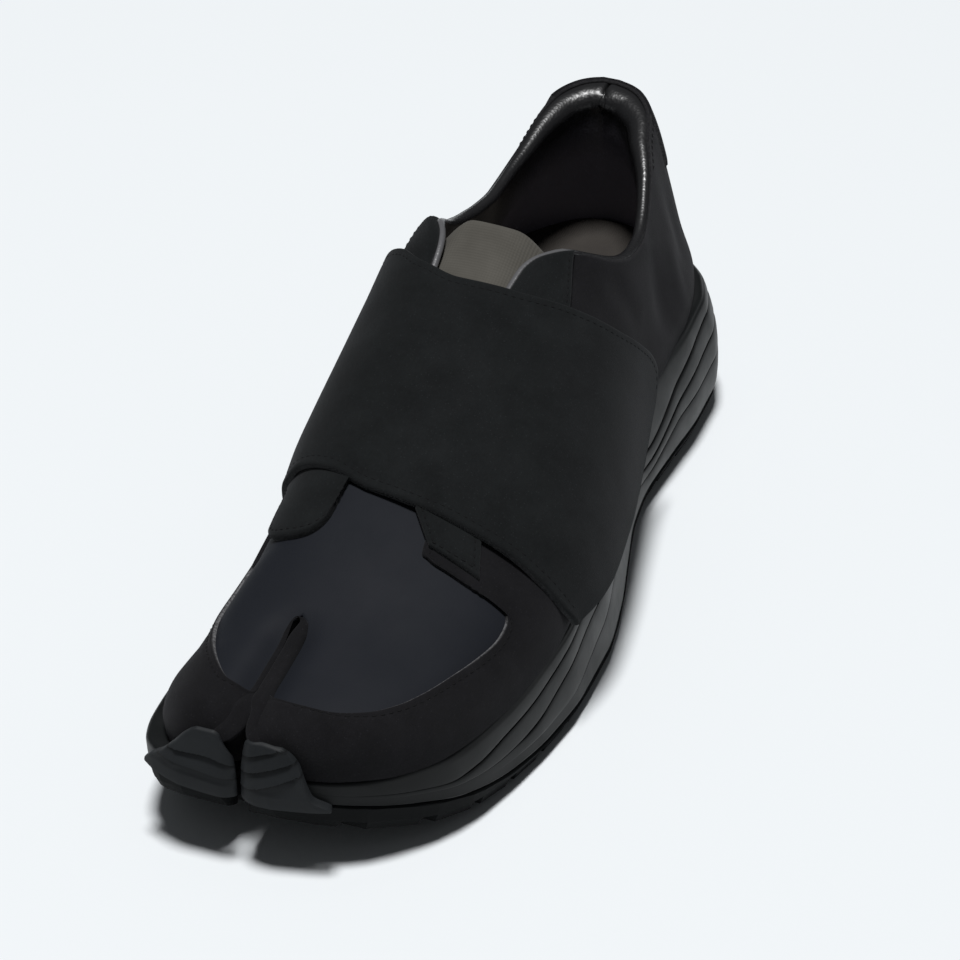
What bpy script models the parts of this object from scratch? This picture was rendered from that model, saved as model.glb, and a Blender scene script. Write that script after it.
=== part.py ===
"""Tabi sneaker, left shoe: a split-toe suede upper with one wide strap on a layered running sole.

Sizes are in millimetres and become metres when a mesh is made. The toe points to -Y, the lateral
side is +X and the shoe stands on the plane z = 0.
"""
import bmesh
import bpy
import numpy as np

MM = 0.001
GAP = 0.3                 # clearance between pieces that meet
CURVED_GAP = 0.45         # the same between faceted curves
CENTRE_X = 7.7            # middle of the shoe's width in the tables below
CENTRE_Y = 0.35           # middle of its length

# Upper, from toe to heel
UPPER_FRONT = -137.5
UPPER_BACK = 139.5
WALL_TOE = 2.0
WALL_HEEL = 3.6           # padded collar
HEEL_LEAN = 7.0           # how far the back leans forward at the top of the collar
HEEL_LEAN_FROM = 58.0     # height where that lean starts
HEEL_LEAN_TO = 98.0
HEEL_LEAN_START = 60.0    # the lean fades in from here towards the back
HEEL_LEAN_FULL = 120.0
UPPER_STATIONS = 31
WALL_SHARES = 6           # places up each flank
ROOF_REACH = (0.80, 0.58, 0.38, 0.23, 0.12, 0.05, 0.0)   # places over the roof, out from the ridge
COLLAR_PAD_FROM = 10.0    # the wall thickens from here to the padded collar
COLLAR_PAD_LENGTH = 60.0
CAVITY_DROP = 8.0         # the hollow runs on below the upper, which is open underneath
CUT_LOW = -20.0           # reach of upright cutters
CUT_HIGH = 130.0

# Split between the great toe and the others
CLEFT_END = -98.0
CLEFT_X_END = -9.5
CLEFT_X_FRONT = -11.0
CLEFT_HALF = 1.7
CLEFT_DIP = 4.5           # depth of the rounded valley along the split
CLEFT_DIP_HALF = 6.0
CLEFT_DIP_FADE = 14.0     # the valley fades out over this length behind the split
TOE_CORNER = 6.0          # rounding of the toes where the split opens

# Sole
SOLE_FRONT = -141.0
SOLE_BACK = 145.0
SOLE_CLEFT_HALF = 2.3
GROOVE_HALF = 0.9
LIP_ROUND = 1.5           # rounding of the midsole's upper edge
OUTSOLE_LUG = 2.6
LUG_PITCH = 15.0
LUG_LENGTH = 10.6
LUG_SLOPE = 0.8
TREAD_INSET = 2.2         # the tread stands in from the outsole's outline
RUBBER_EDGE = 0.6         # bevel of the outsole's upper edge
CHANNEL_SHARES = (0.44, 0.47, 0.53, 0.56)   # groove along the middle of the tread
CHANNEL_DEEP = (0, 1, 1, 0)
SOLE_STATIONS = 29
INSOLE_THICK = 3.2
INSOLE_INSET = 1.3        # clear of the upper's wall
INSOLE_EDGE = 0.6

# Overlays
OVERLAY = 1.1
MUDGUARD_GAP = 0.7        # over the tight curves of the toes
STRAP_THICK = 2.4
GUARD_THICK = 2.6
TONGUE_THICK = 4.0

# Outline where the midsole meets the outsole, the heights of the sole and how far its top stands in
SOLE = {
    "columns": ("y", "medial", "lateral", "bottom", "rubber", "top", "flare_medial", "flare_lateral"),
    "rows": (
        (-141.0, -27.0, 0.0, 14.5, 8.0, 29.5, 0.5, 2.0),
        (-138.0, -35.4, 12.5, 13.0, 8.6, 28.6, 0.5, 2.0),
        (-132.0, -40.2, 24.0, 10.4, 9.0, 27.4, 0.6, 2.2),
        (-122.0, -42.6, 34.5, 7.0, 8.6, 26.2, 0.8, 2.6),
        (-110.0, -43.4, 43.0, 3.9, 7.5, 25.6, 1.0, 3.0),
        (-90.0, -43.2, 50.0, 0.9, 5.8, 26.0, 1.4, 3.4),
        (-70.0, -42.4, 54.5, 0.0, 5.0, 28.4, 2.0, 3.6),
        (-50.0, -41.4, 57.0, 0.0, 5.0, 31.6, 2.6, 3.8),
        (-30.0, -40.0, 57.0, 0.0, 5.0, 34.0, 3.2, 4.0),
        (-10.0, -38.5, 54.5, 0.8, 5.0, 35.8, 4.0, 4.5),
        (10.0, -36.5, 50.0, 2.2, 5.0, 37.0, 5.0, 5.0),
        (30.0, -35.5, 45.5, 2.2, 5.0, 38.0, 6.0, 6.0),
        (50.0, -36.0, 43.5, 0.8, 5.5, 39.0, 7.0, 7.0),
        (70.0, -38.0, 44.5, 0.0, 6.0, 40.0, 8.0, 8.0),
        (90.0, -40.0, 46.0, 0.0, 6.0, 41.0, 9.0, 9.0),
        (105.0, -40.5, 46.0, 0.0, 6.5, 42.0, 9.5, 9.5),
        (118.0, -38.0, 43.0, 0.0, 6.5, 43.0, 10.0, 10.0),
        (130.0, -30.0, 35.0, 0.9, 6.5, 44.0, 10.0, 10.0),
        (138.0, -20.0, 24.5, 2.3, 6.5, 44.8, 10.0, 10.0),
        (143.0, -9.0, 13.0, 3.4, 6.5, 45.0, 9.0, 9.0),
        (145.0, -2.0, 5.0, 3.9, 6.5, 45.0, 8.0, 8.0),
    ),
}

# Grooves along the midsole's side, as shares of its height, with how deep each one is cut
GROOVES = {
    "columns": ("y", "low", "mid", "high", "low_depth", "mid_depth", "high_depth"),
    "rows": (
        (-141.0, 0.16, 0.28, 0.40, 0.0, 0.0, 0.0),
        (-116.0, 0.15, 0.25, 0.36, 0.0, 0.0, 0.2),
        (-104.0, 0.15, 0.26, 0.46, 0.0, 0.0, 1.2),
        (-90.0, 0.15, 0.30, 0.62, 0.0, 0.2, 1.4),
        (-76.0, 0.15, 0.36, 0.68, 0.0, 1.2, 1.4),
        (-60.0, 0.16, 0.50, 0.76, 0.0, 1.4, 1.4),
        (-35.0, 0.30, 0.64, 0.86, 0.4, 1.4, 1.0),
        (-5.0, 0.44, 0.66, 0.84, 0.8, 0.8, 0.2),
        (25.0, 0.30, 0.44, 0.60, 0.4, 0.6, 0.2),
        (50.0, 0.16, 0.30, 0.46, 0.8, 1.0, 1.0),
        (75.0, 0.20, 0.40, 0.60, 1.4, 1.4, 1.4),
        (105.0, 0.26, 0.50, 0.74, 1.6, 1.6, 1.6),
        (145.0, 0.30, 0.54, 0.78, 1.6, 1.6, 1.6),
    ),
}

# Cross-sections of the last: edges at the sole, ridge line and how full each side is
UPPER = {
    "columns": ("y", "medial", "lateral", "ridge_x", "ridge_z", "full_medial", "full_lateral"),
    "rows": (
        (-137.5, -23.0, 1.0, -11.0, 36.4, 4.2, 5.0),
        (-135.5, -28.2, 11.0, -11.0, 40.2, 3.8, 4.6),
        (-131.5, -31.8, 19.5, -10.9, 42.8, 3.2, 4.2),
        (-125.0, -34.4, 28.5, -10.6, 44.8, 2.8, 3.8),
        (-114.0, -35.8, 37.0, -10.2, 46.4, 2.6, 3.4),
        (-98.0, -35.8, 43.6, -9.5, 49.2, 2.45, 2.8),
        (-80.0, -35.4, 48.2, -8.0, 55.0, 2.35, 2.35),
        (-60.0, -35.2, 50.6, -7.0, 62.6, 2.35, 2.05),
        (-40.0, -35.0, 51.0, -6.5, 70.0, 2.4, 2.0),
        (-20.0, -35.2, 49.0, -6.0, 76.8, 2.5, 2.0),
        (0.0, -34.6, 45.2, -6.0, 82.6, 2.7, 2.0),
        (20.0, -34.2, 41.0, -6.0, 87.6, 2.9, 2.0),
        (40.0, -33.4, 37.4, -5.0, 93.0, 3.0, 2.0),
        (60.0, -31.0, 36.4, -3.0, 99.0, 2.2, 2.2),
        (80.0, -29.4, 36.0, -1.0, 103.0, 1.7, 2.2),
        (100.0, -29.0, 34.8, 0.5, 105.0, 1.7, 2.1),
        (115.0, -26.6, 31.4, 1.0, 106.0, 1.9, 2.1),
        (126.0, -21.0, 25.6, 1.0, 107.0, 2.3, 2.5),
        (134.0, -13.0, 17.0, 1.0, 108.0, 2.8, 3.0),
        (138.0, -6.0, 9.5, 1.0, 108.0, 3.6, 3.8),
        (139.5, -1.5, 4.0, 1.0, 108.0, 4.0, 4.0),
    ),
}

# Cross-sections of the strap's inner face, which stands clear of the upper's flanks
STRAP = {
    "columns": ("y", "medial", "lateral", "base", "ridge_x", "ridge_z", "full_medial", "full_lateral"),
    "rows": (
        (-72.0, -38.0, 55.0, 32.5, -7.0, 60.6, 2.4, 2.2),
        (-55.0, -38.0, 56.0, 33.0, -6.5, 67.2, 2.4, 2.1),
        (-35.0, -38.2, 56.4, 33.5, -6.0, 74.4, 2.5, 2.0),
        (-10.0, -38.6, 54.0, 34.0, -6.0, 82.4, 2.7, 2.0),
        (20.0, -38.8, 48.6, 34.0, -6.0, 90.2, 3.1, 2.1),
        (40.0, -39.2, 45.0, 34.5, -5.5, 95.8, 3.3, 2.1),
        (62.0, -38.6, 42.5, 35.0, -5.0, 102.0, 3.3, 2.0),
    ),
}

# Front and rear edges of the strap, from its lateral end over the ridge to its medial end
STRAP_EDGES = {
    "columns": ("across", "front", "rear"),
    "rows": (
        (0.00, -55.0, 10.0),
        (0.02, -56.0, 32.0),
        (0.05, -57.5, 46.0),
        (0.09, -59.0, 52.5),
        (0.15, -61.5, 49.5),
        (0.22, -63.5, 38.5),
        (0.30, -64.0, 26.5),
        (0.40, -62.5, 19.5),
        (0.50, -60.0, 18.0),
        (0.62, -55.5, 22.5),
        (0.72, -52.5, 32.0),
        (0.78, -51.5, 37.5),
        (0.81, -51.0, 36.5),
        (0.90, -48.5, 26.0),
        (1.00, -46.0, 10.0),
    ),
}

# Where the mudguard stops below the vamp panel, as a share of the way from sole to ridge
MUDGUARD = {
    "columns": ("y", "medial", "lateral"),
    "rows": (
        (-137.5, 0.97, 0.97),
        (-129.0, 0.97, 0.97),
        (-128.0, 0.97, 0.88),
        (-126.5, 0.97, 0.76),
        (-125.0, 0.95, 0.68),
        (-123.5, 0.86, 0.62),
        (-121.0, 0.72, 0.56),
        (-118.0, 0.60, 0.52),
        (-112.0, 0.50, 0.475),
        (-104.0, 0.44, 0.44),
        (-94.0, 0.40, 0.41),
        (-76.0, 0.37, 0.40),
        (-48.0, 0.34, 0.38),
    ),
}

# Collar line in side view
COLLAR = {
    "columns": ("y", "z"),
    "rows": (
        (40.0, 93.0),
        (48.0, 87.0),
        (57.0, 80.5),
        (68.0, 76.5),
        (78.0, 76.5),
        (90.0, 80.5),
        (104.0, 88.0),
        (118.0, 94.5),
        (150.0, 99.0),
    ),
}

# Tongue: its edges in plan and how far its middle stands up through the throat
TONGUE = {
    "columns": ("y", "medial", "lateral", "raise"),
    "rows": (
        (-46.0, -24.0, 12.0, 0.0),
        (0.0, -26.0, 18.0, 0.5),
        (26.0, -26.0, 20.0, 1.5),
        (36.0, -24.0, 19.0, 3.0),
        (41.0, -19.0, 15.0, 4.0),
        (44.0, -12.0, 8.0, 4.5),
    ),
}

# Front edges of the two tabs in plan, x and y from the ridge side outwards
TABS = {
    "lateral": ((15.0, -66.0), (16.5, -70.5), (24.0, -71.5), (32.0, -70.5), (33.5, -69.0)),
    "medial": ((-14.0, -57.0), (-18.0, -64.0), (-24.0, -67.0), (-29.0, -65.0), (-32.0, -60.0)),
}
TAB_REAR = -50.0
TAB_THICK = 1.5

# Rear lobes of the facings
LOBE_FRONT = 12.0
LOBE_TURN = 31.0          # where the rounded end starts
LOBE_REAR = 45.0
LOBE_SEAM = {"lateral": 22.0, "medial": -27.5}

# Toe guards, from their lower edge up: the lean back from the sole's outline, the rib's relief, and
# how far out each guard reaches
GUARD_CORNER = 5.0
GUARD_START = 0.8         # how far round the inner corner the guard starts, in radians
GUARD = {
    "columns": ("z", "lean", "rib", "lateral", "medial"),
    "rows": (
        (20.8, 0.0, -1.4, 15.5, -36.0),
        (21.8, 0.0, 0.0, 15.5, -36.5),
        (25.2, 0.0, 0.4, 11.0, -35.0),
        (26.6, 0.2, -0.6, 10.2, -33.6),
        (30.2, 0.5, 0.4, 9.0, -30.3),
        (31.6, 0.8, -0.6, 8.6, -29.4),
        (35.4, 1.3, 0.2, 7.5, -26.6),
        (36.8, 1.5, -0.6, 6.8, -25.6),
        (39.5, 1.8, -0.6, 4.5, -23.0),
        (40.5, 1.8, -1.4, 3.0, -21.5),
    ),
}
GUARD_RISE = {"lateral": 0.0, "medial": 3.5}   # of the lower edge towards the outer end

# Throat opening in plan: the edges of the two facings
THROAT = {
    "columns": ("y", "medial", "lateral"),
    "rows": (
        (-52.0, -12.0, 2.0),
        (-46.0, -15.0, 5.0),
        (0.0, -16.0, 6.0),
        (30.0, -17.0, 8.0),
        (38.0, -18.5, 10.5),
        (45.0, -22.0, 16.0),
    ),
}


def along(table, name, at):
    """Smooth monotone curve through one column of a table."""
    rows = np.array(table["rows"], float)
    knots = rows[:, 0]
    values = rows[:, table["columns"].index(name)]
    width = np.diff(knots)
    slope = np.diff(values) / width
    tangent = np.zeros(len(knots))
    tangent[0] = slope[0]
    tangent[-1] = slope[-1]
    before, after = slope[:-1], slope[1:]
    turns = before * after > 0
    mean = np.where(turns, 2 * before * after / np.where(turns, before + after, 1), 0)
    tangent[1:-1] = mean
    at = np.clip(np.asarray(at, float), knots[0], knots[-1])
    i = np.clip(np.searchsorted(knots, at, side="right") - 1, 0, len(width) - 1)
    t = (at - knots[i]) / width[i]
    rise = (1 + 2 * t) * (1 - t) ** 2 * values[i] + t**2 * (3 - 2 * t) * values[i + 1]
    bend = t * (1 - t) ** 2 * tangent[i] - t**2 * (1 - t) * tangent[i + 1]
    return rise + bend * width[i]


def spread(first, last, count, ends=0.65):
    """Places from first to last, closer together at both ends."""
    s = np.linspace(0, 1, count)
    return first + (last - first) * ((1 - ends) * s + ends * (1 - np.cos(np.pi * s)) / 2)


def make_material(name, colour, roughness):
    material = bpy.data.materials.new(name)
    material.use_nodes = True
    shader = material.node_tree.nodes["Principled BSDF"]
    shader.inputs["Base Color"].default_value = (*colour, 1)
    shader.inputs["Roughness"].default_value = roughness
    return material


def make_object(name, points, faces, material=None):
    """A mesh object from points in the tables' frame."""
    places = (np.asarray(points, float) - (CENTRE_X, CENTRE_Y, 0)) * MM
    mesh = bpy.data.meshes.new(name)
    mesh.from_pydata(places.tolist(), [], faces)
    shape = bmesh.new()
    shape.from_mesh(mesh)
    bmesh.ops.recalc_face_normals(shape, faces=shape.faces)
    shape.to_mesh(mesh)
    shape.free()
    obj = bpy.data.objects.new(name, mesh)
    bpy.context.scene.collection.objects.link(obj)
    if material:
        mesh.materials.append(material)
        mesh.shade_smooth()
        mesh.set_sharp_from_angle(angle=np.radians(35))
    else:
        obj.hide_render = True
        obj.display_type = "WIRE"
    return obj


def cut(target, cutter):
    """Take the cutter's shape out of the target."""
    boolean = target.modifiers.new("cut_" + cutter.name, "BOOLEAN")
    boolean.operation = "DIFFERENCE"
    boolean.solver = "EXACT"
    boolean.object = cutter


def strip_faces(rows, columns, start=0, closed=False):
    """Quads between the rows of a grid of points."""
    faces = []
    last = columns if closed else columns - 1
    for i in range(rows - 1):
        for j in range(last):
            k = (j + 1) % columns
            a = start + i * columns
            faces.append((a + j, a + k, a + columns + k, a + columns + j))
    return faces


def rim_edges(rows, columns):
    """The edges round a grid of points."""
    rim = list(range(columns)) + [i * columns + columns - 1 for i in range(1, rows)]
    rim += [(rows - 1) * columns + j for j in range(columns - 2, -1, -1)]
    rim += [i * columns for i in range(rows - 2, 0, -1)]
    return list(zip(rim, rim[1:] + rim[:1]))


def prism(name, outline, low, high):
    """A cutter with a plan outline, upright from low to high."""
    n = len(outline)
    points = [(x, y, low) for x, y in outline] + [(x, y, high) for x, y in outline]
    faces = [tuple(range(n - 1, -1, -1)), tuple(range(n, 2 * n))]
    faces += strip_faces(2, n, closed=True)
    return make_object(name, points, faces)


def side_prism(name, outline, left, right):
    """A cutter with a side-view outline of y and z, running across the shoe."""
    n = len(outline)
    points = [(left, y, z) for y, z in outline] + [(right, y, z) for y, z in outline]
    faces = [tuple(range(n - 1, -1, -1)), tuple(range(n, 2 * n))]
    faces += strip_faces(2, n, closed=True)
    return make_object(name, points, faces)


def cleft_x(y):
    share = (CLEFT_END - y) / (CLEFT_END - SOLE_FRONT)
    return CLEFT_X_END + (CLEFT_X_FRONT - CLEFT_X_END) * share


def cleft_half(y, half, front, corner):
    """Half the split's width, flaring round the inner corners of the toes."""
    into = np.clip((front + corner - y) / corner, 0, 1)
    return half + corner * (1 - np.sqrt(1 - into**2))


def cleft_outline(half, front, corner, end):
    """Plan outline of the split, with a round inner end."""
    turn = np.linspace(0, np.pi, 9)
    inner = [(cleft_x(end) + half * np.cos(a), end + half * np.sin(a)) for a in turn]
    straight = np.linspace(end - 12, front + corner, 3)
    flared = spread(front + corner, front, 6, 0)[1:]
    reach = np.concatenate([straight, flared, [front - 12]])
    medial = [(cleft_x(y) - cleft_half(y, half, front, corner), y) for y in reach]
    lateral = [(cleft_x(y) + cleft_half(y, half, front, corner), y) for y in reach[::-1]]
    return lateral + inner + medial


def plan_ring(table, stations, inset):
    """Outline seen from above: lateral side from toe to heel, then medial side back."""
    x = np.concatenate([along(table, "lateral", stations), along(table, "medial", stations)[::-1]])
    y = both_sides(stations)
    ring = np.stack([x, y], -1)
    tangent = np.roll(ring, -1, 0) - np.roll(ring, 1, 0)
    normal = np.stack([tangent[:, 1], -tangent[:, 0]], -1)
    normal /= np.linalg.norm(normal, axis=1)[:, None]
    return ring - normal * np.broadcast_to(inset, len(ring))[:, None]


def both_sides(values):
    """The same value on both sides of each station, in the order of a ring."""
    return np.concatenate([values, values[::-1]])


def cap_faces(count, start, up=True):
    """Quads across a ring, between its lateral and medial points."""
    faces = []
    for i in range(count - 1):
        face = (start + i, start + i + 1, start + 2 * count - 2 - i, start + 2 * count - 1 - i)
        faces.append(face if up else face[::-1])
    return faces


def ring_solid(name, rings, material):
    """A closed solid from rings listed from the bottom up."""
    count = len(rings[0]) // 2
    points = np.concatenate(rings)
    faces = cap_faces(count, 0, up=False)
    faces += strip_faces(len(rings), 2 * count, closed=True)
    faces += cap_faces(count, 2 * count * (len(rings) - 1))
    return make_object(name, points, faces, material)


def lift(ring, height):
    return np.column_stack([ring, height])


def rubber_top(y):
    return along(SOLE, "bottom", y) + along(SOLE, "rubber", y)


def build_midsole(material):
    stations = spread(SOLE_FRONT, SOLE_BACK, SOLE_STATIONS)
    rise = along(SOLE, "top", stations) - rubber_top(stations)
    flare = np.append(along(SOLE, "flare_lateral", stations), along(SOLE, "flare_medial", stations)[::-1])

    def ring(share, recess=0.0):
        share = np.broadcast_to(share, len(stations))
        inset = flare * both_sides(share) ** 1.2 + both_sides(np.broadcast_to(recess, len(stations)))
        plan = plan_ring(SOLE, stations, inset)
        low = both_sides(rubber_top(stations)) + CURVED_GAP
        top = along(SOLE, "top", plan[:, 1])
        return lift(plan, low + (top - low) * both_sides(share))

    rings = [ring(0, 1.0), ring(0.05)]
    for name in ("low", "mid", "high"):
        share = along(GROOVES, name, stations)
        depth = along(GROOVES, name + "_depth", stations)
        half = (0.15 + GROOVE_HALF * np.minimum(depth, 1)) / rise
        rings += [ring(share - half), ring(share, depth), ring(share + half)]
    rings += [ring(1 - LIP_ROUND / rise), ring(1, 0.4 * LIP_ROUND), ring(1, LIP_ROUND)]
    return ring_solid("midsole", rings, material)


def lug_stations():
    """Stations along the tread, each with whether the rubber there is cut away."""
    places, raised = [SOLE_FRONT, SOLE_FRONT + 2.5], [0, 0]
    start = SOLE_FRONT + 4.5
    while start + LUG_PITCH < SOLE_BACK - 6:
        gap = LUG_PITCH - LUG_LENGTH
        places += [start, start + LUG_SLOPE, start + gap - LUG_SLOPE, start + gap]
        raised += [0, 1, 1, 0]
        start += LUG_PITCH
    places += [SOLE_BACK - 3, SOLE_BACK - 1.2, SOLE_BACK]
    raised += [0, 0, 0]
    return np.array(places), np.array(raised, float)


def build_outsole(material):
    stations, raised = lug_stations()
    count = len(stations)
    bottom = along(SOLE, "bottom", stations)
    tread = bottom + raised * OUTSOLE_LUG
    rings = [
        lift(plan_ring(SOLE, stations, TREAD_INSET), both_sides(tread)),
        lift(plan_ring(SOLE, stations, 0.4 * TREAD_INSET), both_sides(bottom + OUTSOLE_LUG + RUBBER_EDGE)),
        lift(plan_ring(SOLE, stations, 0), both_sides(rubber_top(stations) - RUBBER_EDGE)),
        lift(plan_ring(SOLE, stations, RUBBER_EDGE), both_sides(rubber_top(stations))),
    ]
    points = list(np.concatenate(rings))
    sides = strip_faces(len(rings), 2 * count, closed=True)
    ends = (count - 1, 2 * count - 1)
    faces = [face for k, face in enumerate(sides) if k not in ends]
    faces += cap_faces(count, 2 * count * (len(rings) - 1))

    # Tread: bars of rubber parted by a groove along the middle
    lateral, medial = rings[0][:count], rings[0][count:][::-1]
    rows = [list(range(count))]
    for share, deep in zip(CHANNEL_SHARES, CHANNEL_DEEP):
        rows.append(list(range(len(points), len(points) + count)))
        for i in range(count):
            place = lateral[i] * (1 - share) + medial[i] * share
            flat_end = i < 2 or i > count - 4
            place[2] = bottom[i] + OUTSOLE_LUG * max(raised[i], 0 if flat_end else deep)
            points.append(place)
    rows.append(list(range(2 * count - 1, count - 1, -1)))
    for near, far in zip(rows, rows[1:]):
        for i in range(count - 1):
            faces.append((near[i + 1], near[i], far[i], far[i + 1]))
    second = 2 * count
    faces.append(tuple(row[0] for row in rows) + (second + 2 * count - 1, second))
    faces.append(tuple(row[-1] for row in rows) + (second + count, second + count - 1))
    return make_object("outsole", points, faces, material)


def superellipse(share, full):
    """Point on a quarter of a superellipse: out from the ridge, and up from the base."""
    corner = 2 ** (-1 / full)
    wall = share < 0.5
    up = np.where(wall, corner * share / 0.5, 0)
    out = np.where(wall, 0, corner * (1 - share) / 0.5)
    out = np.where(wall, np.maximum(1 - up**full, 0) ** (1 / full), out)
    up = np.where(wall, up, np.maximum(1 - out**full, 0) ** (1 / full))
    return out, up


def upper_point(y, share, side):
    """The upper's outer face: share 0 at the sole, 1 on the ridge; side is lateral or medial."""
    y, share = np.broadcast_arrays(np.asarray(y, float), np.asarray(share, float))
    base = along(SOLE, "top", y) + GAP
    ridge_x = along(UPPER, "ridge_x", y)
    ridge_z = along(UPPER, "ridge_z", y)
    out, up = superellipse(share, along(UPPER, "full_" + side, y))
    x = ridge_x + (along(UPPER, side, y) - ridge_x) * out
    z = base + (ridge_z - base) * up
    fade = np.clip((CLEFT_END + CLEFT_DIP_HALF - y) / CLEFT_DIP_FADE, 0, 1)
    dip = CLEFT_DIP * np.exp(-(((x - cleft_x(y)) / CLEFT_DIP_HALF) ** 2)) * fade**2 * (3 - 2 * fade)
    z = z - dip * np.clip((z - base) / 8, 0, 1)
    lean = np.clip((z - HEEL_LEAN_FROM) / (HEEL_LEAN_TO - HEEL_LEAN_FROM), 0, 1.4)
    back = np.clip((y - HEEL_LEAN_START) / (HEEL_LEAN_FULL - HEEL_LEAN_START), 0, 1)
    return np.stack([x, y - HEEL_LEAN * lean**1.6 * back, z], -1)


def strap_point(y, share, side):
    """The strap's inner face."""
    y, share = np.broadcast_arrays(np.asarray(y, float), np.asarray(share, float))
    base = along(STRAP, "base", y)
    ridge_x = along(STRAP, "ridge_x", y)
    out, up = superellipse(share, along(STRAP, "full_" + side, y))
    x = ridge_x + (along(STRAP, side, y) - ridge_x) * out
    z = base + (along(STRAP, "ridge_z", y) - base) * up
    return np.stack([x, y, z], -1)


def across(surface, y, u):
    """A surface read from its lateral edge, u = 0, over the ridge to its medial edge, u = 1."""
    y, u = np.broadcast_arrays(np.asarray(y, float), np.asarray(u, float))
    lateral = surface(y, np.minimum(2 * u, 1), "lateral")
    medial = surface(y, np.minimum(2 * (1 - u), 1), "medial")
    return np.where((u <= 0.5)[..., None], lateral, medial)


def outward(surface, y, u, step=0.4):
    """Unit normal of a surface that is read by across."""
    du = 0.004
    along_y = across(surface, y + step, u) - across(surface, y - step, u)
    along_u = across(surface, y, np.minimum(u + du, 1)) - across(surface, y, np.maximum(u - du, 0))
    normal = np.cross(along_y, along_u)
    return normal / np.maximum(np.linalg.norm(normal, axis=-1), 1e-9)[..., None]


def section_shares():
    """Places across the upper, close together on the ridge where the split runs."""
    wall = np.linspace(0, 0.5, WALL_SHARES)
    roof = 1 - 0.5 * np.array(ROOF_REACH)
    half = np.concatenate([wall, roof]) / 2
    return np.concatenate([half, 1 - half[-2::-1]])


def upper_form(name, front, back, wall, floor, material=None):
    """The closed last shape, moved inwards by a wall, with its flat base lowered to a floor."""
    stations = spread(front, back, UPPER_STATIONS)
    shares = section_shares()
    y, u = np.meshgrid(stations, shares, indexing="ij")
    skin = across(upper_point, y, u) - outward(upper_point, y, u) * np.asarray(wall(y))[..., None]
    if floor:
        skin[:, 0, 2] -= floor
        skin[:, -1, 2] -= floor
    rows, columns = y.shape
    faces = [face[::-1] for face in strip_faces(rows, columns)]
    for i in range(rows - 1):
        a, b = i * columns, (i + 1) * columns
        faces.append((a, b, b + columns - 1, a + columns - 1)[::-1])
    faces.append(tuple(range(columns)))
    faces.append(tuple(range((rows - 1) * columns, rows * columns))[::-1])
    return make_object(name, skin.reshape(-1, 3), faces, material)


def wall_thickness(y):
    share = np.clip((y - COLLAR_PAD_FROM) / COLLAR_PAD_LENGTH, 0, 1)
    return WALL_TOE + (WALL_HEEL - WALL_TOE) * share


def build_upper(material):
    hollow_front, hollow_back = UPPER_FRONT + WALL_TOE, UPPER_BACK - WALL_HEEL
    upper = upper_form("upper", UPPER_FRONT, UPPER_BACK, lambda y: 0 * y, 0, material)
    cavity = upper_form("cavity", hollow_front, hollow_back, wall_thickness, CAVITY_DROP)
    cleft = cleft_outline(CLEFT_HALF, UPPER_FRONT, TOE_CORNER, CLEFT_END)
    wide = cleft_outline(CLEFT_HALF + WALL_TOE, hollow_front, TOE_CORNER, CLEFT_END)
    cut(cavity, prism("cleft_wall", wide, CUT_LOW, CUT_HIGH))
    cut(upper, prism("cleft", cleft, CUT_LOW, CUT_HIGH))
    cut(upper, cavity)

    first, last = COLLAR["rows"][0][0], COLLAR["rows"][-1][0]
    collar = [(y, float(along(COLLAR, "z", y))) for y in np.linspace(first, last, 23)]
    collar += [(last, CUT_HIGH), (first, CUT_HIGH)]
    cut(upper, side_prism("collar", collar, -80, 90))
    rows = np.linspace(THROAT["rows"][0][0], THROAT["rows"][-1][0], 21)
    medial = [(float(along(THROAT, "medial", y)), y) for y in rows[::-1]]
    lateral = [(float(along(THROAT, "lateral", y)), y) for y in rows]
    cut(upper, prism("throat", lateral + medial, 60, CUT_HIGH))
    return upper


def shell(name, surface, y, u, inner, outer, material):
    """A closed sheet over part of a surface, from one distance above it to another."""
    normal = outward(surface, y, u)
    face = across(surface, y, u)
    rows, columns = y.shape
    size = rows * columns
    points = np.concatenate([
        (face + normal * np.asarray(inner)[..., None]).reshape(-1, 3),
        (face + normal * np.asarray(outer)[..., None]).reshape(-1, 3),
    ])
    low = strip_faces(rows, columns)
    faces = low + [tuple(size + k for k in face)[::-1] for face in low]
    for a, b in rim_edges(rows, columns):
        faces.append((b, a, size + a, size + b))
    return make_object(name, points, faces, material)


def build_strap(material):
    u = np.concatenate([np.linspace(0, 0.1, 6), np.linspace(0.1, 0.9, 17)[1:-1], np.linspace(0.9, 1, 3)])
    v = np.linspace(0, 1, 8)
    u, v = np.meshgrid(u, v, indexing="ij")
    front = along(STRAP_EDGES, "front", u)
    y = front + (along(STRAP_EDGES, "rear", u) - front) * v
    return shell("strap", strap_point, y, u, 0 * y, 0 * y + STRAP_THICK, material)


def build_mudguard(side, material):
    stations = np.concatenate([
        spread(UPPER_FRONT + 1.2, -129, 5, 0),
        np.linspace(-128, -119, 7),
        np.linspace(-112, -50, 7),
    ])
    v = np.linspace(0, 1, 9)
    y, v = np.meshgrid(stations, v, indexing="ij")
    share = 0.03 + (along(MUDGUARD, side, y) - 0.03) * v
    u = share / 2 if side == "lateral" else 1 - share / 2
    if side == "medial":
        y, u = y[:, ::-1], u[:, ::-1]
    seat = np.full(y.shape, MUDGUARD_GAP)
    return shell("mudguard_" + side, upper_point, y, u, seat, seat + OVERLAY, material)


def share_at(y, x, side):
    """Where across the upper a given x lies."""
    ridge_x = along(UPPER, "ridge_x", y)
    full = along(UPPER, "full_" + side, y)
    out = np.clip((x - ridge_x) / (along(UPPER, side, y) - ridge_x), 0, 1)
    corner = 2 ** (-1 / full)
    up = (1 - out**full) ** (1 / full)
    return np.where(out < corner, 1 - 0.5 * out / corner, 0.5 * up / corner)


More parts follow.
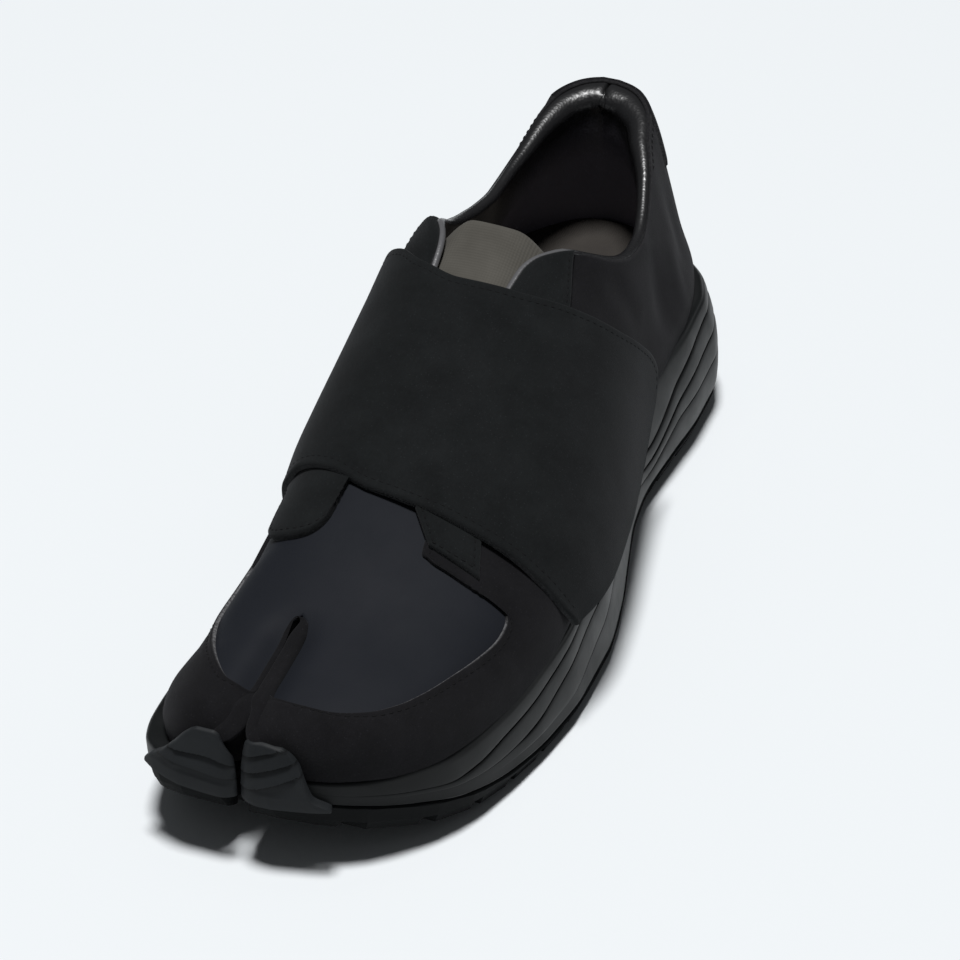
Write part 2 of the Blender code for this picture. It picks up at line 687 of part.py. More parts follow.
def across_at(y, x, side):
    """The same place counted from the lateral edge over to the medial one."""
    share = share_at(y, x, side)
    return share / 2 if side == "lateral" else 1 - share / 2


def build_insole(material):
    stations = spread(UPPER_FRONT + WALL_TOE, UPPER_BACK - WALL_HEEL, 30)
    rings = []
    levels = (GAP, INSOLE_THICK - INSOLE_EDGE, INSOLE_THICK)
    for level, edge in zip(levels, (0, -0.5 * INSOLE_EDGE, 0.5 * INSOLE_EDGE)):
        plan = plan_ring(UPPER, stations, both_sides(wall_thickness(stations)) + INSOLE_INSET + edge)
        rings.append(lift(plan, along(SOLE, "top", plan[:, 1]) + level))
    return ring_solid("insole", rings, material)


def build_tongue(material):
    stations = np.concatenate([np.linspace(-46, 20, 6), np.linspace(26, 44, 5)])
    y, v = np.meshgrid(stations, np.linspace(0, 1, 11), indexing="ij")
    lateral = across_at(y, along(TONGUE, "lateral", y), "lateral")
    medial = across_at(y, along(TONGUE, "medial", y), "medial")
    u = lateral + (medial - lateral) * v
    hump = along(TONGUE, "raise", y) * np.clip(1 - 4 * (2 * v - 1) ** 2, 0, 1)
    outer = hump - wall_thickness(y) - CURVED_GAP
    return shell("tongue", upper_point, y, u, outer - TONGUE_THICK, outer, material)


def build_tab(side, material):
    rows = TABS[side]
    s = np.linspace(0, 1, 7)
    y0 = np.interp(s, np.linspace(0, 1, len(rows)), [row[1] for row in rows])
    x0 = np.interp(s, np.linspace(0, 1, len(rows)), [row[0] for row in rows])
    x, v = np.meshgrid(x0, np.linspace(0, 1, 5), indexing="ij")
    y = y0[:, None] + (TAB_REAR - y0[:, None]) * v
    u = across_at(y, x, side)
    return shell("tab_" + side, upper_point, y, u, 0 * y + GAP, 0 * y + GAP + TAB_THICK, material)


def build_lobe(side, material):
    s, v = np.meshgrid(np.linspace(0, 1, 9), np.linspace(0, 1, 7), indexing="ij")
    rear = LOBE_TURN + (LOBE_REAR - LOBE_TURN) * np.sqrt(1 - (1 - s) ** 2)
    y = LOBE_FRONT + (rear - LOBE_FRONT) * v
    edge = along(THROAT, side, np.minimum(y, LOBE_TURN))
    x = edge + (LOBE_SEAM[side] - edge) * s
    u = across_at(y, x, side)
    return shell("lobe_" + side, upper_point, y, u, 0 * y + GAP, 0 * y + GAP + OVERLAY, material)


def toe_path(side, end):
    """Plan line round one toe's front, from inside the split outwards to the place where x is end."""
    sign = 1 if side == "lateral" else -1
    inner_y = SOLE_FRONT + GUARD_CORNER * (1 - np.sin(np.linspace(GUARD_START, np.pi / 2, 5)))
    inner_x = cleft_x(inner_y) + sign * cleft_half(inner_y, SOLE_CLEFT_HALF, SOLE_FRONT, GUARD_CORNER)
    outline_y = np.linspace(SOLE_FRONT, SOLE["rows"][3][0], 40)
    outline_x = along(SOLE, side, outline_y)
    outer_x = np.linspace(inner_x[-1], end, 7)[1:]
    outer_y = np.interp(sign * outer_x, sign * outline_x, outline_y)
    path = np.stack([np.append(inner_x, outer_x), np.append(inner_y, outer_y)], -1)
    tangent = np.gradient(path, axis=0)
    normal = sign * np.stack([tangent[:, 1], -tangent[:, 0]], -1)
    return path, normal / np.linalg.norm(normal, axis=1)[:, None]


def build_toe_guard(side, material):
    levels = np.array(GUARD["rows"], float)
    ends = levels[:, GUARD["columns"].index(side)]
    low, high = levels[0, 0], levels[-1, 0]
    inner, outer = [], []
    for (z, lean, rib), end in zip(levels[:, :3], ends):
        path, normal = toe_path(side, end)
        facing = np.clip(-normal[:, 1:], 0, 1) ** 4
        seat = path + normal * (GAP + (1 - facing) * CURVED_GAP - lean * facing)
        height = z + GUARD_RISE[side] * np.linspace(0, 1, len(path)) ** 2 * (high - z) / (high - low)
        inner.append(lift(seat, height))
        outer.append(lift(seat + normal * (GUARD_THICK + rib), height))
    rows, columns = len(levels), len(path)
    size = rows * columns
    back = strip_faces(rows, columns)
    faces = back + [tuple(size + k for k in face)[::-1] for face in back]
    for a, b in rim_edges(rows, columns):
        faces.append((b, a, size + a, size + b))
    return make_object("toe_guard_" + side, np.concatenate(inner + outer), faces, material)


def build_all():
    for obj in list(bpy.data.objects):
        bpy.data.objects.remove(obj, do_unlink=True)
    suede = make_material("suede", (0.010, 0.010, 0.011), 0.95)
    foam = make_material("foam", (0.040, 0.045, 0.046), 0.55)
    rubber = make_material("rubber", (0.012, 0.014, 0.015), 0.7)
    guard = make_material("toe_rubber", (0.022, 0.026, 0.028), 0.6)
    knit = make_material("tongue_fabric", (0.085, 0.080, 0.070), 0.9)
    bed = make_material("footbed", (0.070, 0.062, 0.052), 0.85)

    split = cleft_outline(SOLE_CLEFT_HALF, SOLE_FRONT, GUARD_CORNER, CLEFT_END)
    sole_cleft = prism("sole_cleft", split, CUT_LOW, CUT_HIGH)
    for piece in (build_midsole(foam), build_outsole(rubber)):
        cut(piece, sole_cleft)
    build_upper(suede)
    inner_half = CLEFT_HALF + WALL_TOE + CURVED_GAP
    split = cleft_outline(inner_half, UPPER_FRONT + WALL_TOE + INSOLE_INSET, TOE_CORNER, CLEFT_END)
    cut(build_insole(bed), prism("insole_cleft", split, CUT_LOW, CUT_HIGH))
    build_tongue(knit)
    build_strap(suede)
    for side in ("lateral", "medial"):
        build_mudguard(side, suede)
        build_tab(side, suede)
        build_lobe(side, suede)
        build_toe_guard(side, guard)


build_all()
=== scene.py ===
"""Looks of the tabi sneaker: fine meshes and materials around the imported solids.

Sizes are in millimetres in the same frame as the tables of the construction, and become metres when a
mesh is made. The toe points to -Y, the lateral side of the left foot is +X, the floor is z = 0.
"""
import bmesh
import bpy
import numpy as np
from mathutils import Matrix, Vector


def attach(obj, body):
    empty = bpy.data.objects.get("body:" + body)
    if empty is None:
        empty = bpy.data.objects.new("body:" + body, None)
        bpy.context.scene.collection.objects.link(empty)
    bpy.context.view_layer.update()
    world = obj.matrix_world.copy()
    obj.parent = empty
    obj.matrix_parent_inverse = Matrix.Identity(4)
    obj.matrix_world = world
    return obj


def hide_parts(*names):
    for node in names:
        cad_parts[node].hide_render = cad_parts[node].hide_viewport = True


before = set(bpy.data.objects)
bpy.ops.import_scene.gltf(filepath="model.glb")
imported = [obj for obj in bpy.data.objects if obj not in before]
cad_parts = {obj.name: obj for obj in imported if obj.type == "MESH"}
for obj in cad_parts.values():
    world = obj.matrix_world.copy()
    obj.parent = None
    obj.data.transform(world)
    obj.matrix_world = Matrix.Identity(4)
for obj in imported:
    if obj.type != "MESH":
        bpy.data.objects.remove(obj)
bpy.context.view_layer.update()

MM = 0.001
GAP = 0.3                 # clearance between pieces that meet
CURVED_GAP = 0.45         # the same between faceted curves
CENTRE_X = 7.7            # middle of the shoe's width in the tables below
CENTRE_Y = 0.35           # middle of its length
SIDES = ("lateral", "medial")
SIGN = {"lateral": 1, "medial": -1}

# Upper, from toe to heel
UPPER_FRONT = -137.5
UPPER_BACK = 139.5
WALL_TOE = 2.0
WALL_HEEL = 3.6           # padded collar
HEEL_LEAN = 7.0           # how far the back leans forward at the top of the collar
HEEL_LEAN_FROM = 58.0     # height where that lean starts
HEEL_LEAN_TO = 98.0
HEEL_LEAN_START = 60.0    # the lean fades in from here towards the back
HEEL_LEAN_FULL = 120.0
COLLAR_PAD_FROM = 10.0    # the wall thickens from here to the padded collar
COLLAR_PAD_LENGTH = 60.0
CUT_LOW = -20.0           # reach of upright cutters
CUT_HIGH = 130.0

# Split between the great toe and the others
CLEFT_END = -98.0
CLEFT_X_END = -9.5
CLEFT_X_FRONT = -11.0
CLEFT_HALF = 1.7
CLEFT_DIP = 4.5           # depth of the rounded valley along the split
CLEFT_DIP_HALF = 6.0
CLEFT_DIP_FADE = 14.0     # the valley fades out over this length behind the split
TOE_CORNER = 6.0          # rounding of the toes where the split opens

# Sole
SOLE_FRONT = -141.0
SOLE_BACK = 145.0
SOLE_CLEFT_HALF = 2.3
LIP_ROUND = 1.5           # rounding of the midsole's upper edge
INSOLE_INSET = 1.3        # clear of the upper's wall
# Heights over the midsole, and how far the footbed's edge stands in there
INSOLE_PROFILE = ((GAP, 0.3), (1.6, 0.0), (2.5, 0.1), (3.0, 0.45), (3.2, 1.0))

# Toe guards and tongue
GUARD_THICK = 2.6
TONGUE_THICK = 4.0
TONGUE_ROUND = 2.4        # rounding of its edges
TONGUE_LEAST = 0.03       # half its thickness at the very edge
CROWN_EDGE = 0.95         # the raised middle ends at this share of the half width
CROWN_EASE = 0.6

# Outline where the midsole meets the outsole, the heights of the sole and how far its top stands in
SOLE = {
    "columns": ("y", "medial", "lateral", "bottom", "rubber", "top", "flare_medial", "flare_lateral"),
    "rows": (
        (-141, -27, 0, 14.5, 8, 29.5, 0.2, 2),
        (-138, -35.4, 12.5, 13, 8.6, 28.6, -0.1, 2),
        (-132, -40.2, 24, 10.4, 9, 27.4, -0.4, 2.2),
        (-122, -42.6, 34.5, 7, 8.6, 26.2, -0.5, 2.6),
        (-110, -43.4, 43, 3.9, 7.5, 25.6, -0.4, 3),
        (-90, -43.2, 50, 0.9, 5.8, 26, 0.2, 3.4),
        (-70, -42.4, 54.5, 0, 5, 28.4, 1, 3.6),
        (-50, -41.4, 57, 0, 5, 31.6, 2.6, 3.8),
        (-30, -40, 57, 0, 5, 34, 3.2, 4),
        (-10, -38.5, 54.5, 0.8, 5, 35.8, 4, 4.5),
        (10, -36.5, 50, 2.2, 5, 37, 5, 5),
        (30, -35.5, 45.5, 2.2, 5, 38, 6, 4.8),
        (50, -36, 43.5, 0.8, 5.5, 39, 7, 4.5),
        (70, -38, 44.5, 0, 6, 40, 8, 4.3),
        (90, -40, 46, 0, 6, 41, 9, 4.5),
        (105, -40.5, 46, 0, 6.5, 42, 9.5, 4.9),
        (118, -38, 43, 0, 6.5, 43, 10, 5.6),
        (130, -30, 35, 0.9, 6.5, 44, 10, 7),
        (138, -20, 24.5, 2.3, 6.5, 44.8, 10, 8.4),
        (143, -9, 13, 3.4, 6.5, 45, 9, 9),
        (145, -2, 5, 3.9, 6.5, 45, 8, 8),
    ),
}

# Grooves along the midsole's side, as shares of its height, with how deep each one is cut
GROOVES = {
    "columns": ("y", "low", "mid", "high", "low_depth", "mid_depth", "high_depth"),
    "rows": (
        (-141, 0.16, 0.28, 0.40, 0, 0, 0),
        (-116, 0.15, 0.25, 0.36, 0, 0, 0.2),
        (-104, 0.15, 0.26, 0.46, 0, 0, 1.2),
        (-90, 0.15, 0.30, 0.62, 0, 0.2, 1.4),
        (-76, 0.15, 0.36, 0.68, 0, 1.2, 1.4),
        (-60, 0.16, 0.50, 0.76, 0, 1.4, 1.4),
        (-35, 0.30, 0.64, 0.86, 0.4, 1.4, 1),
        (-5, 0.44, 0.66, 0.84, 0.8, 0.8, 0.2),
        (25, 0.30, 0.44, 0.60, 0.4, 0.6, 0.2),
        (50, 0.18, 0.30, 0.45, 0.8, 1, 1),
        (75, 0.34, 0.52, 0.70, 1.4, 1.4, 1.4),
        (105, 0.36, 0.61, 0.83, 1.6, 1.6, 1.6),
        (145, 0.33, 0.57, 0.79, 1.6, 1.6, 1.6),
    ),
}

# Cross-sections of the last: edges at the sole, ridge line and how full each side is
UPPER = {
    "columns": ("y", "medial", "lateral", "ridge_x", "ridge_z", "full_medial", "full_lateral"),
    "rows": (
        (-137.5, -23, 1, -11, 36.4, 4.2, 5),
        (-135.5, -28.2, 11, -11, 40.2, 3.8, 4.6),
        (-131.5, -31.8, 19.5, -10.9, 42.8, 3.2, 4.2),
        (-125, -34.4, 28.5, -10.6, 44.8, 2.8, 3.8),
        (-114, -35.8, 37, -10.2, 46.4, 2.6, 3.4),
        (-98, -35.8, 43.6, -9.5, 49.2, 2.45, 2.8),
        (-80, -35.4, 48.2, -8, 55, 2.35, 2.35),
        (-60, -35.2, 50.6, -7, 62.6, 2.35, 2.05),
        (-40, -35, 51, -6.5, 70, 2.4, 2),
        (-20, -35.2, 49, -6, 76.8, 2.5, 2),
        (0, -34.6, 45.2, -6, 82.6, 2.7, 2),
        (20, -34.2, 41, -6, 87.6, 2.9, 2),
        (40, -33.4, 37.4, -5, 93, 3, 2),
        (60, -31, 36.4, -3, 99, 2.2, 2.2),
        (80, -29.4, 36, -1, 103, 1.7, 2.2),
        (100, -29, 34.8, 0.5, 105, 1.7, 2.1),
        (115, -26.6, 31.4, 1, 106, 1.9, 2.1),
        (126, -21, 25.6, 1, 107, 2.3, 2.5),
        (134, -13, 17, 1, 108, 2.8, 3),
        (138, -6, 9.5, 1, 108, 3.6, 3.8),
        (139.5, -1.5, 4, 1, 108, 4, 4),
    ),
}

# Cross-sections of the strap's inner face, which stands clear of the upper's flanks
STRAP = {
    "columns": ("y", "medial", "lateral", "base", "ridge_x", "ridge_z", "full_medial", "full_lateral"),
    "rows": (
        (-72, -38, 55, 32.5, -7, 60.6, 2.4, 2.2),
        (-55, -38, 56, 33, -6.5, 67.2, 2.4, 2.1),
        (-35, -38.2, 56.4, 33.5, -6, 74.4, 2.5, 2),
        (-10, -38.6, 54, 34, -6, 82.4, 2.7, 2),
        (20, -38.8, 48.6, 34, -6, 90.2, 3.1, 2.1),
        (40, -39.2, 45, 34.5, -5.5, 95.8, 3.3, 2.1),
        (62, -38.6, 42.5, 35, -5, 102, 3.3, 2),
    ),
}

# Front and rear edges of the strap, from its lateral end over the ridge to its medial end
STRAP_EDGES = {
    "columns": ("across", "front", "rear"),
    "rows": (
        (0.00, -55, 10),
        (0.02, -56, 34),
        (0.05, -57.5, 48.5),
        (0.08, -58.7, 51.8),
        (0.11, -59.4, 49.6),
        (0.16, -60.2, 42.6),
        (0.22, -60.6, 34.2),
        (0.30, -60.2, 25.8),
        (0.40, -58.6, 19.5),
        (0.50, -56.6, 18),
        (0.62, -53, 22.5),
        (0.72, -50, 32),
        (0.78, -48.4, 37.5),
        (0.81, -47.6, 36.5),
        (0.90, -44.5, 26),
        (1.00, -41, 10),
    ),
}

# Collar line in side view
COLLAR = {
    "columns": ("y", "lateral", "medial"),
    "rows": (
        (40, 93, 93),
        (48, 87, 88.6),
        (57, 80.5, 85),
        (68, 76.5, 83),
        (78, 76.5, 82.8),
        (90, 80.5, 83.8),
        (104, 88, 88.4),
        (118, 94.5, 94.5),
        (150, 99, 99),
    ),
}

# Tongue: its edges in plan and how far its middle stands up through the throat
TONGUE = {
    "columns": ("y", "medial", "lateral", "raise"),
    "rows": (
        (-46, -24, 12, 0),
        (0, -26, 18, 0.5),
        (26, -26, 20, 1.5),
        (36, -25, 20, 3),
        (41, -23.5, 18.5, 3.8),
        (43.2, -21, 16, 4.2),
        (44, -17, 12, 4.4),
    ),
}


# Toe guards, from their lower edge up: the lean back from the sole's outline and how far out each reaches
GUARD_CORNER = 5.0        # rounding of the midsole's corners at the split
GUARD_START = 0.4         # how far round the inner corner the guard starts, in radians
GUARD = {
    "columns": ("z", "lean", "lateral", "medial"),
    "rows": (
        (20.8, 0, 15.5, -36),
        (21.8, 0, 15.5, -36.5),
        (25.2, 0, 11, -35),
        (26.6, 0.2, 10.2, -33.6),
        (30.2, 0.5, 9, -30.3),
        (31.6, 0.8, 8.6, -29.4),
        (35.4, 1.3, 7.5, -26.6),
        (36.8, 1.5, 6.8, -25.6),
        (39.5, 1.8, 4.5, -23),
        (40.5, 1.8, 3, -21.5),
    ),
}
GUARD_RISE = {"lateral": 0.0, "medial": 3.5}   # of the lower edge towards the outer end

# Throat opening in plan: the edges of the two facings
THROAT = {
    "columns": ("y", "medial", "lateral"),
    "rows": (
        (-52, -12, 2),
        (-46, -15, 5),
        (0, -16, 6),
        (30, -17, 8),
        (38, -18.5, 10.5),
        (45, -22, 16),
    ),
}


# Looks of the upper
THROAT_EASE = 4.0         # the throat's front end is cut in over this length
VAMP_END = -43.0          # under the strap, where the smooth vamp leather gives way to suede
OUTER_LEATHER = 1.1
SUEDE = 1.2
EDGE_ROUND = 0.6          # rounding of a cut edge, as a share of the sheet's thickness
RAW_EDGE = 0.26           # width of the pale cut edge
SEAM_INSET = 2.2          # stitch rows stand this far from an edge
SEAM_ROW = 6              # grid row near a seam, whose normals the stitches take
CHANNEL_SINK = 0.22       # a stitch row pulls the suede in
CHANNEL_HALF = 0.7
STRAP_SEAM = 3.0
STRAP_SHEET = 1.9
# How much closer the strap's front edge lies, from its lateral end over to its medial end
STRAP_HUG = ((0.0, 2.4), (0.1, 2.6), (0.2, 2.5), (0.27, 1.2), (0.36, 0.5), (0.42, 1.2), (0.54, 1.2),
             (0.6, 0.3), (0.74, 0.4), (0.79, 1.3), (0.86, 1.2), (1.0, 0.2))
STRAP_TUCK = 2.5          # the medial end is sewn down and lies this much closer all along
STRAP_TUCK_FROM = 0.8
STRAP_HUG_REACH = 10.0
SHARE_MM = 60.0           # rough length of the way from sole to ridge, for creases
CURVE_WEIGHT = np.array([1.0, SHARE_MM])
FOOT_TUCK = 1.2           # the quarter's foot goes down this far into the midsole's top
FOOT_TUCK_REACH = 0.12
THROAT_RAW = 0.6          # how pale the quarter's edge is along the throat
COLLAR_RAW = 0.08         # and round the collar, where it is turned in
ROLL_INSET = 0.25         # the lining's roll stands in from the suede's face
EDGE_SOFT = 6.0           # rounding of the free edge where the throat meets the collar
EDGE_SOFT_AT = 46.0
COLLAR_SOFT = 9.0         # the collar line is smoothed over this length either way
COLLAR_SWELL = 2.2        # padding of the collar's inside
PAD_FROM = 40.0           # it comes up from here, over the next length
PAD_EASE = 25.0
PAD_BELOW = 15.0          # and is fullest this far below the edge
PAD_HALF = 11.0
LINING_DEEPEST = 9.0      # without the padding, the inside stands in by no more than this
LINING_LEATHER = 0.7
LINING_SHARES = (0.915, 0.02, 34)   # first and last place down the wall, and how many
ROLL_TURN = (-50, 175, 17)          # the same for the roll, in degrees
LOBE_ROLL = 0.6           # the roll follows the lobes' thickness by this share
HEEL_FINE = 100.0         # places lie closer together behind this one
COLLAR_SEAM = 2.6         # the stitch row below the collar, and the rows at each end without it
COLLAR_SEAM_SKIP = 100
SEAM_NOTCH = 1.0          # of the lining's seam at the back
SEAM_HALF = 0.45
HEEL_SEAM_X = 1.25
BACK_COLUMNS = 9          # columns across the flat of the very back
LINING_BACK = 112.0       # the lining's inside is rounded off behind this place
LINING_PASSES = 60
LINING_PALE_FROM = 78.0   # painted light: the inside is paler behind this place
LINING_PALE_EASE = 20.0
LINING_RAMP = 13          # columns over which the roll's tone turns into the inside's painted-light tone
FOLD_TOE = -121.0         # the fold along the split lies on the mudguard from here forwards
FOLD_WIDE = {"lateral": 2.1, "medial": 1.4}
FOLD_TALL = {"lateral": 1.7, "medial": 0.6}
# How far the lateral fold leans over the split, by y
FOLD_SHUT = ((-131.0, 0.0), (-125.0, 1.0), (-103.0, 1.0), (-97.2, 0.45))
FOLD_SLOT = 0.3           # and the width that it leaves open
FOLD_LEAN_FROM = 0.45     # the lean starts at this share of the fold's profile
FOLD_ON_SKIN = 0.7        # share of the profile that lies on the skin
FOLD_SINK = 0.25          # its outer edge is let into the skin
FOLD_EASE = 6.0
FOLD_END = 5.0            # the folds slim down over this length at the split's inner end
FOLD_END_LEAST = 0.15
FOLD_LEATHER = 0.5
FOLD_OVER_GUARD = 0.9
FOLD_TOE_LEAN = 2.4       # the great toe's rolled edge closes the split's flare by this much
FOLD_TOE_ROLL = -123.0    # it is rolled from here forwards
FOLD_TOE_WIDE = 1.2
FOLD_TOE_TALL = 0.8
FRONT_ROWS = 0.12         # share of the mudguard's rows that start on the toe's front
MUDGUARD_END = -40.0
PANEL_CORNER = -73.0      # the panel's cut edge is pale in front of this corner
FINE_GROOVE = 0.24        # half width of the midsole's grooves
GROOVE_DEEP = 0.8
BAND_BELLY = 0.3          # how round the bands are, and how much more at the heel
HEEL_BELLY = 0.15
BAND_LEAN = 0.8           # below 1, the lower bands lean back more than the upper ones
HEEL_BAND_LEAN = 1.4      # the same at the heel, where the side stands up first
HEEL_BULGE = 1.6
HEEL_BULGE_END = 20.0     # the bulge fades out over this length at the back
HEEL_FROM = 20.0          # the heel's shape comes in from here, over the next length
HEEL_EASE = 50.0
BAND_STEPS = (0.0, 0.05, 0.2, 0.5, 0.8, 0.95, 1.0)
LIP_ANGLES = (18, 36, 54, 72, 90)
GROOVE_RIM_SHADE = 0.6     # painted shade: how dark the bands' edges are made beside the grooves
MIDSOLE_SHARP = 34
GUARD_ROUND = 0.7
GUARD_LEDGES = {          # where each rib's ledge starts at the split, and how it climbs outwards
    "lateral": ((25.2, 0.50), (30.4, 0.46), (35.6, 0.40)),
    "medial": ((28.6, 0.0), (34.4, -0.13)),
}
GUARD_RELIEF = 0.9
GUARD_TAPER = 0.6         # they thin towards the top by this share
GUARD_SHADE = 0.9         # the painted shade below each ledge reaches this far down
# how dark the painted shade below each ledge is
GUARD_SHADE_DARKNESS = 0.8
LEDGE_CLEAR = 4.0         # the outermost ribs run on past the guard's edges
GUARD_SPLIT = {"lateral": 4.2, "medial": 1.1}         # half the split between the guards
GUARD_TURN = {"lateral": 4.0, "medial": 3.0}          # radius of their corners there
GUARD_INNER_DROP = {"lateral": 0.8, "medial": 7.5}    # rounding of the top corner at the split
GUARD_DROP_REACH = 0.55
GUARD_OUTER_DROP = {"lateral": 0.8, "medial": 0.0}

# Edge of the vamp panel from the split round to the strap, as y and share of the way up
PANEL_EDGE = {
    "lateral": (
        (-122.0, 0.96), (-124.6, 0.92), (-126.3, 0.864), (-126.9, 0.784), (-126.3, 0.644), (-122.6, 0.558),
        (-116.8, 0.518), (-109.7, 0.492), (-99.5, 0.458), (-90.0, 0.418), (-81.7, 0.386), (-76.0, 0.384),
        (-73.2, 0.402), (-71.6, 0.435), (-72.2, 0.484), (-72.5, 0.552), (-71.6, 0.627), (-70.2, 0.70),
        (-66.0, 0.735), (-40.0, 0.74),
    ),
    "medial": (
        (-120.5, 0.97), (-122.6, 0.94), (-123.5, 0.864), (-122.6, 0.75), (-116.8, 0.627), (-108.8, 0.509),
        (-98.0, 0.401), (-90.3, 0.358), (-78.0, 0.335), (-60.0, 0.33), (-40.0, 0.33),
    ),
}

# Overlays: two curves each, front edge first where one shows
TAB = {
    "lateral": (
        ((-69.7, 0.529), (-69.0, 0.58), (-68.0, 0.65), (-66.9, 0.715)),
        ((-48.0, 0.529), (-48.0, 0.58), (-48.0, 0.65), (-48.0, 0.78)),
    ),
    "medial": (
        ((-46.5, 0.42), (-57.0, 0.42), (-66.0, 0.445), (-70.6, 0.52), (-72.2, 0.64), (-72.0, 0.73),
         (-70.6, 0.795), (-67.6, 0.845), (-63.2, 0.866), (-52.0, 0.868)),
        ((-42.0, 0.42), (-42.0, 0.60), (-42.0, 0.78)),
    ),
}
LOBE = {
    "lateral": (((10.0, 0.52), (30.0, 0.555), (47.5, 0.62)), ((10.0, 1.0), (30.0, 1.0), (47.5, 1.0))),
    "medial": (((10.0, 0.50), (30.0, 0.50), (47.5, 0.52)), ((10.0, 1.0), (30.0, 1.0), (47.5, 1.0))),
}
HEEL_PATCH_FRONT = (121.8, 122.6, 124.4, 126.0)   # front edge of the heel patch, from its foot up
HEEL_PATCH_LOW = 0.68     # its foot, as a share of the way up to the collar
HEEL_PATCH_THICK = 0.8

# Creases, and fuller places with a depth below 0: side, two ends as y and share, depth, half width
CREASES = (
    ("lateral", 50.0, 0.52, 58.5, 0.20, 0.8, 4.5),
    ("lateral", 84.0, 0.36, 74.0, 0.02, 1.3, 6.0),
    ("lateral", 99.0, 0.30, 90.0, 0.02, -0.9, 5.0),
    ("lateral", 112.0, 0.40, 106.0, 0.05, 0.7, 5.0),
    ("medial", 62.0, 0.50, 74.0, 0.28, 0.8, 5.0),
    ("medial", -138.0, 0.16, -98.0, 0.16, -3.0, 13.0),
    ("lateral", -84.0, 0.22, -40.0, 0.22, -1.5, 16.0),
    ("lateral", -50.0, 0.20, 90.0, 0.20, -2.4, 20.0),
    ("lateral", 75.0, 0.36, 140.0, 0.36, 1.6, 9.0),
    ("medial", -108.0, 0.42, -70.0, 0.42, -1.6, 10.0),
    ("lateral", 20.0, 0.0, 160.0, 0.0, -5.0, 7.0),
    ("medial", 20.0, 0.0, 160.0, 0.0, -3.0, 7.0),
)

# Radius of the lining's roll over the free edge, how tall it stands, and how far it is set down
ROLL = {
    "columns": ("y", "radius", "tall", "down"),
    "rows": (
        (-45, 1, 1.2, 0),
        (38, 1.1, 1.2, 0),
        (56, 1.8, 1.1, 0.3),
        (90, 2, 1.1, 0.4),
        (110, 2.9, 1, 1.2),
        (122, 4.1, 0.9, 2.2),
        (140, 5.2, 0.85, 3),
    ),
}

# Slow waves of the strap: depth, turns across and along, start
STRAP_WAVES = ((0.30, 9.0, 2.0, 0.4), (0.22, 17.0, 3.5, 2.1), (0.12, 31.0, 1.5, 0.9))
TAB_THICK = {"lateral": 1.5, "medial": 2.2}
TAB_LIFT = {"lateral": 1.2, "medial": 0.2}            # how far they stand off the skin
OVERLAY_LIFT = 0.05       # the same for the other overlays
FAINT = 0.1               # how pale the overlays' cut edges are
PALE = 0.7
TAB_SEAMS = {"lateral": ("low", "first", "last"), "medial": ("low",)}
LOBE_RIMS = {"low": FAINT, "last": FAINT, "high": PALE}
LOBE_SWELL = {"lateral": 1.4, "medial": 3.2}
LOBE_END = 47.5
LOBE_FADE = 8.0           # the lining's roll comes down over this length behind the lobes
SWELL_FROM = 14.0
SWELL_LENGTH = 22.0
WAVE_BANDS = 3.14         # about the bands that a wave texture of scale 1 lays over one unit

# Studio, in metres: the camera stands where the photo's camera stood relative to this shoe
CAMERA_EYE = (0.2942, -0.79995, 0.6411)
CAMERA_TARGET = (0.000, -0.003, 0.036)
CAMERA_LENS = 134.0
FLOOR_COLOUR = (0.80, 0.83, 0.85)
SKY_COLOUR = (0.94, 0.97, 1.0)
SKY_STRENGTH = 0.07
KEY_PLACE = (-0.05, -0.25, 4.5)   # one soft light high above
KEY_TARGET = (0.0, 0.0, 0.03)
KEY_SIZE = 1.0
KEY_POWER = 214.0
FLOOR_REACH = 6.0
FLOOR_DROP = 0.0002


def along(table, name, at):
    """Smooth monotone curve through one column of a table."""
    rows = np.array(table["rows"], float)
    knots = rows[:, 0]
    values = rows[:, table["columns"].index(name)]
    width = np.diff(knots)
    slope = np.diff(values) / width
    tangent = np.zeros(len(knots))
    tangent[0] = slope[0]
    tangent[-1] = slope[-1]
    before, after = slope[:-1], slope[1:]
    turns = before * after > 0
    mean = np.where(turns, 2 * before * after / np.where(turns, before + after, 1), 0)
    tangent[1:-1] = mean
    at = np.clip(np.asarray(at, float), knots[0], knots[-1])
    i = np.clip(np.searchsorted(knots, at, side="right") - 1, 0, len(width) - 1)
    t = (at - knots[i]) / width[i]
    rise = (1 + 2 * t) * (1 - t) ** 2 * values[i] + t**2 * (3 - 2 * t) * values[i + 1]
    bend = t * (1 - t) ** 2 * tangent[i] - t**2 * (1 - t) * tangent[i + 1]
    return rise + bend * width[i]


def unit(vectors):
    """The same vectors with length 1."""
    return vectors / np.maximum(np.linalg.norm(vectors, axis=-1, keepdims=True), 1e-9)


def ease(share):
    """A share held between 0 and 1, with a soft start and end."""
    share = np.clip(share, 0, 1)
    return share**2 * (3 - 2 * share)


def rounded(away, radius):
    """Share of the full height at a distance from a rounded edge."""
    return np.sqrt(1 - (1 - np.clip(away / radius, 0, 1)) ** 2)


def spread(first, last, count, ends=0.65):
    """Places from first to last, closer together at both ends."""
    s = np.linspace(0, 1, count)
    return first + (last - first) * ((1 - ends) * s + ends * (1 - np.cos(np.pi * s)) / 2)


def strip_faces(rows, columns, start=0, closed=False):
    """Quads between the rows of a grid of points."""
    faces = []
    last = columns if closed else columns - 1
    for i in range(rows - 1):
        for j in range(last):
            k = (j + 1) % columns
            a = start + i * columns
            faces.append((a + j, a + k, a + columns + k, a + columns + j))
    return faces


